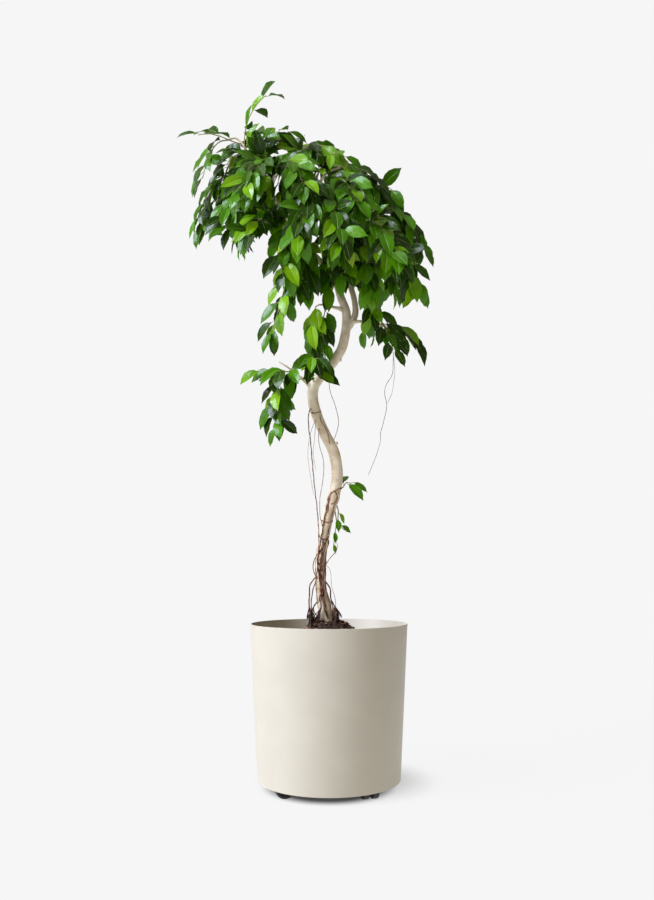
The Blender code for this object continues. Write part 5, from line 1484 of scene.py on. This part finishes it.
def make_foliage(leaf_green):
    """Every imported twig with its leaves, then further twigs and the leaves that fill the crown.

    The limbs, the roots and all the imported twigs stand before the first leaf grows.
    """
    grown = Obstacles()
    for sides, route in LIMBS.values():
        grown.add(*tube_shape(route, sides))
    for route in ROOTS.values():
        grown.add(*tube_shape(route, ROOT_SIDES))
    twigs = {name: twig_frames(*twig_points(*stand)) for name, *stand, _, _ in SPRAYS + MORE_SPRAYS}
    for name, *_ in SPRAYS:
        corners = [corner for place in twigs[name] for corner in twig_ring(place)]
        grown.add(corners, ring_faces(len(twigs[name]), 3))
    leaves = {}
    further = random.Random(FURTHER_SEED)
    for sprays, chance in ((SPRAYS, random.Random(LEAF_SEED)), (MORE_SPRAYS, further)):
        for name, *_, hang, scale in sprays:
            leaves[name] = plan_leaves(twigs[name], (hang, scale), chance, grown)
    for name, *_, hang, scale in SPRAYS + MORE_SPRAYS:
        if name not in BARE_TWIGS:
            turns = FURTHER_TURNS[:1] if name in LOOSE_TWIGS else FURTHER_TURNS
            habit = (hang, scale * FURTHER_SIZE)
            leaves[name] += further_leaves(twigs[name], turns, habit, further, grown)
    rng = np.random.default_rng(TONE_SEED)
    for name, frames in twigs.items():
        make_leafy_twig(name, frames, leaves[name], leaf_green, rng)


def make_wheels(black_nylon):
    """Castor wheels turned on their axle's line: a rounded tread, a dished face and a blind bore."""
    hub_face, dish_face = WHEEL_WIDTH - HUB_INSET, WHEEL_WIDTH - DISH_DEPTH
    profile = rounded_profile((
        (0.0, hub_face, 0.0),
        (HUB_RADIUS, hub_face, 0.0006),
        (DISH_RADII[0], dish_face, 0.0006),
        (DISH_RADII[1], dish_face, 0.0008),
        (TREAD_INNER_RADIUS, WHEEL_WIDTH, 0.0008),
        (WHEEL_RADIUS, WHEEL_WIDTH, 0.0022),
        (WHEEL_RADIUS, 0.0, 0.0010),
        (BORE_RADIUS, 0.0, 0.0003),
        (BORE_RADIUS, BORE_DEPTH, 0.0003),
        (0.0, BORE_DEPTH, 0.0),
    ))
    rings = turned_rings(profile[1:-1], WHEEL_SIDES)
    up = np.array((0.0, 0.0, 1.0))
    places = {joint["child"]: np.array(joint["pos_m"]) for joint in frame["joints"]}
    for corner in CASTOR_CORNERS:
        for side, other in (("left", "right"), ("right", "left")):
            body = f"wheel_{corner}_{side}"
            outward = unit(places[body] - places[f"wheel_{corner}_{other}"])
            turned = rings[..., :1] * np.cross(outward, up) + rings[..., 1:2] * up
            turned = turned + (rings[..., 2:] - WHEEL_WIDTH / 2) * outward + places[body]
            name = f"castor_{body}"
            skin = Skin(lofted(turned))
            skin.piece(f"fine_{name}", black_nylon, body, "black_tread", name, sharp=40)


def refinish(kind, material):
    """Give the castors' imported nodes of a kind, which keep their shape, a finish of their own."""
    for corner in CASTOR_CORNERS:
        frame["nodes"][f"{kind}_{corner}"].material_slots[0].material = material


def floor_finish():
    # Pale studio floor: matt grey, with a glow that is dimmed under the skirt and around the foot,
    # which paints the shade there and the foot's soft shadow
    floor = finish("pale_studio_floor", (0.30, 2.0), Roughness=1.0, Specular_IOR_Level=0.0)
    made, tree, place, grain = floor
    near = add(tree, MIX, {0: grain, 6: linear("2A2A2A"), 7: linear("2C2C2C")}, 2, **COLORS)
    from_axis = add(tree, VECTORS, {0: place, 1: tuple(-PLANTER_AXIS)}, operation="ADD")
    radius = add(tree, VECTORS, {0: from_axis}, "Value", operation="LENGTH")
    reach = {0: from_axis, 1: SHADOW_MIDDLE}
    reach = add(tree, VECTORS, reach, "Value", operation="DISTANCE")
    # Shares of the glow: the painted shade under the skirt, the foot's painted shadow, and the far floor
    skirt_painted_shade, soft, far = (
        add(tree, RANGE, {"Value": value, "From Min": start, "From Max": full, "To Min": least}, **SMOOTH)
        for value, (start, full), least in ((radius, FLOOR_GLOW_RADII, UNDER_SKIRT_LIGHT),
                                            (reach, SHADOW_RADII, SHADOW_LIGHT),
                                            (radius, FAR_FLOOR_RADII, 0.0)))
    glow = add(tree, RANGE, {"Value": far, "To Min": FLOOR_GLOW, "To Max": BACKGROUND_LIGHT})
    for share in (skirt_painted_shade, soft):
        glow = add(tree, MATHS, {0: share, 1: glow}, operation="MULTIPLY")
    color = add(tree, MIX, {0: far, 6: near, 7: (0.0, 0.0, 0.0, 1.0)}, 2, **COLORS)
    tree.nodes["Principled BSDF"].inputs["Emission Color"].default_value = WHITE
    return dressed(made, Base_Color=color, Emission_Strength=glow)


def make_floor(pale_floor):
    """A round floor at z = 0, with rings of many radii."""
    rings = turned_rings([(radius, 0.0) for radius in np.linspace(*FLOOR_RADII)], FLOOR_SIDES)
    points, quads, _ = lofted(rings)
    mesh = bpy.data.meshes.new("studio_floor")
    mesh.from_pydata(points[:-2], [], quads.tolist() + [list(range(FLOOR_SIDES))])
    mesh.materials.append(pale_floor)
    placed("studio_floor", mesh)


def make_studio():
    """Surroundings that look even and give more light from one side, and a soft key light."""
    world = bpy.data.worlds.new("white_studio")
    world.use_nodes = True
    tree = world.node_tree
    seen = add(tree, "ShaderNodeLightPath", {}, "Is Camera Ray")
    direction = add(tree, COORDINATES, {}, "Generated")
    bright = add(tree, VECTORS, {0: direction, 1: BRIGHT_SIDE}, "Value", operation="DOT_PRODUCT")
    low, high = SURROUND_LIGHTS
    given = add(tree, RANGE, {"Value": bright, "From Min": -0.2, "To Min": low, "To Max": high})
    strength = add(tree, RANGE, {"Value": seen, "To Min": given, "To Max": BACKGROUND_LIGHT})
    color = add(tree, MIX, {0: seen, 6: linear(SURROUND_COLOR), 7: WHITE}, 2, **COLORS)
    backdrop = tree.nodes["Background"]
    tree.links.new(color, backdrop.inputs["Color"])
    tree.links.new(strength, backdrop.inputs["Strength"])
    bpy.context.scene.world = world
    lamp = bpy.data.lights.new("key_light", "SUN")
    lamp.energy = KEY_STRENGTH
    lamp.color = linear(KEY_COLOR)[:3]
    lamp.angle = KEY_SPREAD
    placed("key_light", lamp).rotation_euler = (math.pi / 2 - KEY_HEIGHT, 0.0, KEY_TURN)
    bpy.context.scene.view_settings.view_transform = "Standard"


def make_camera():
    """The photograph's view: level, in front of the planter's axis, shifted to its frame."""
    lens = bpy.data.cameras.new("photo_camera")
    lens.lens = LENS
    lens.sensor_width = SENSOR
    lens.sensor_fit = "AUTO"
    lens.shift_x, lens.shift_y = CAMERA_SHIFT
    camera = placed("photo_camera", lens)
    camera.location = CAMERA_PLACE
    camera.rotation_euler = (math.pi / 2, 0.0, 0.0)
    bpy.context.scene.camera = camera


def main():
    make_planter(powder_coat_finish())
    make_soil(compost_finish())
    make_chips(chip_finish())
    make_limbs(bark_finish())
    make_roots(root_finish())
    make_foliage(leaf_finish())
    make_wheels(wheel_finish())
    refinish("castor_housing", housing_finish())
    refinish("castor_plate", zinc_finish())
    make_floor(floor_finish())
    make_studio()
    make_camera()


main()
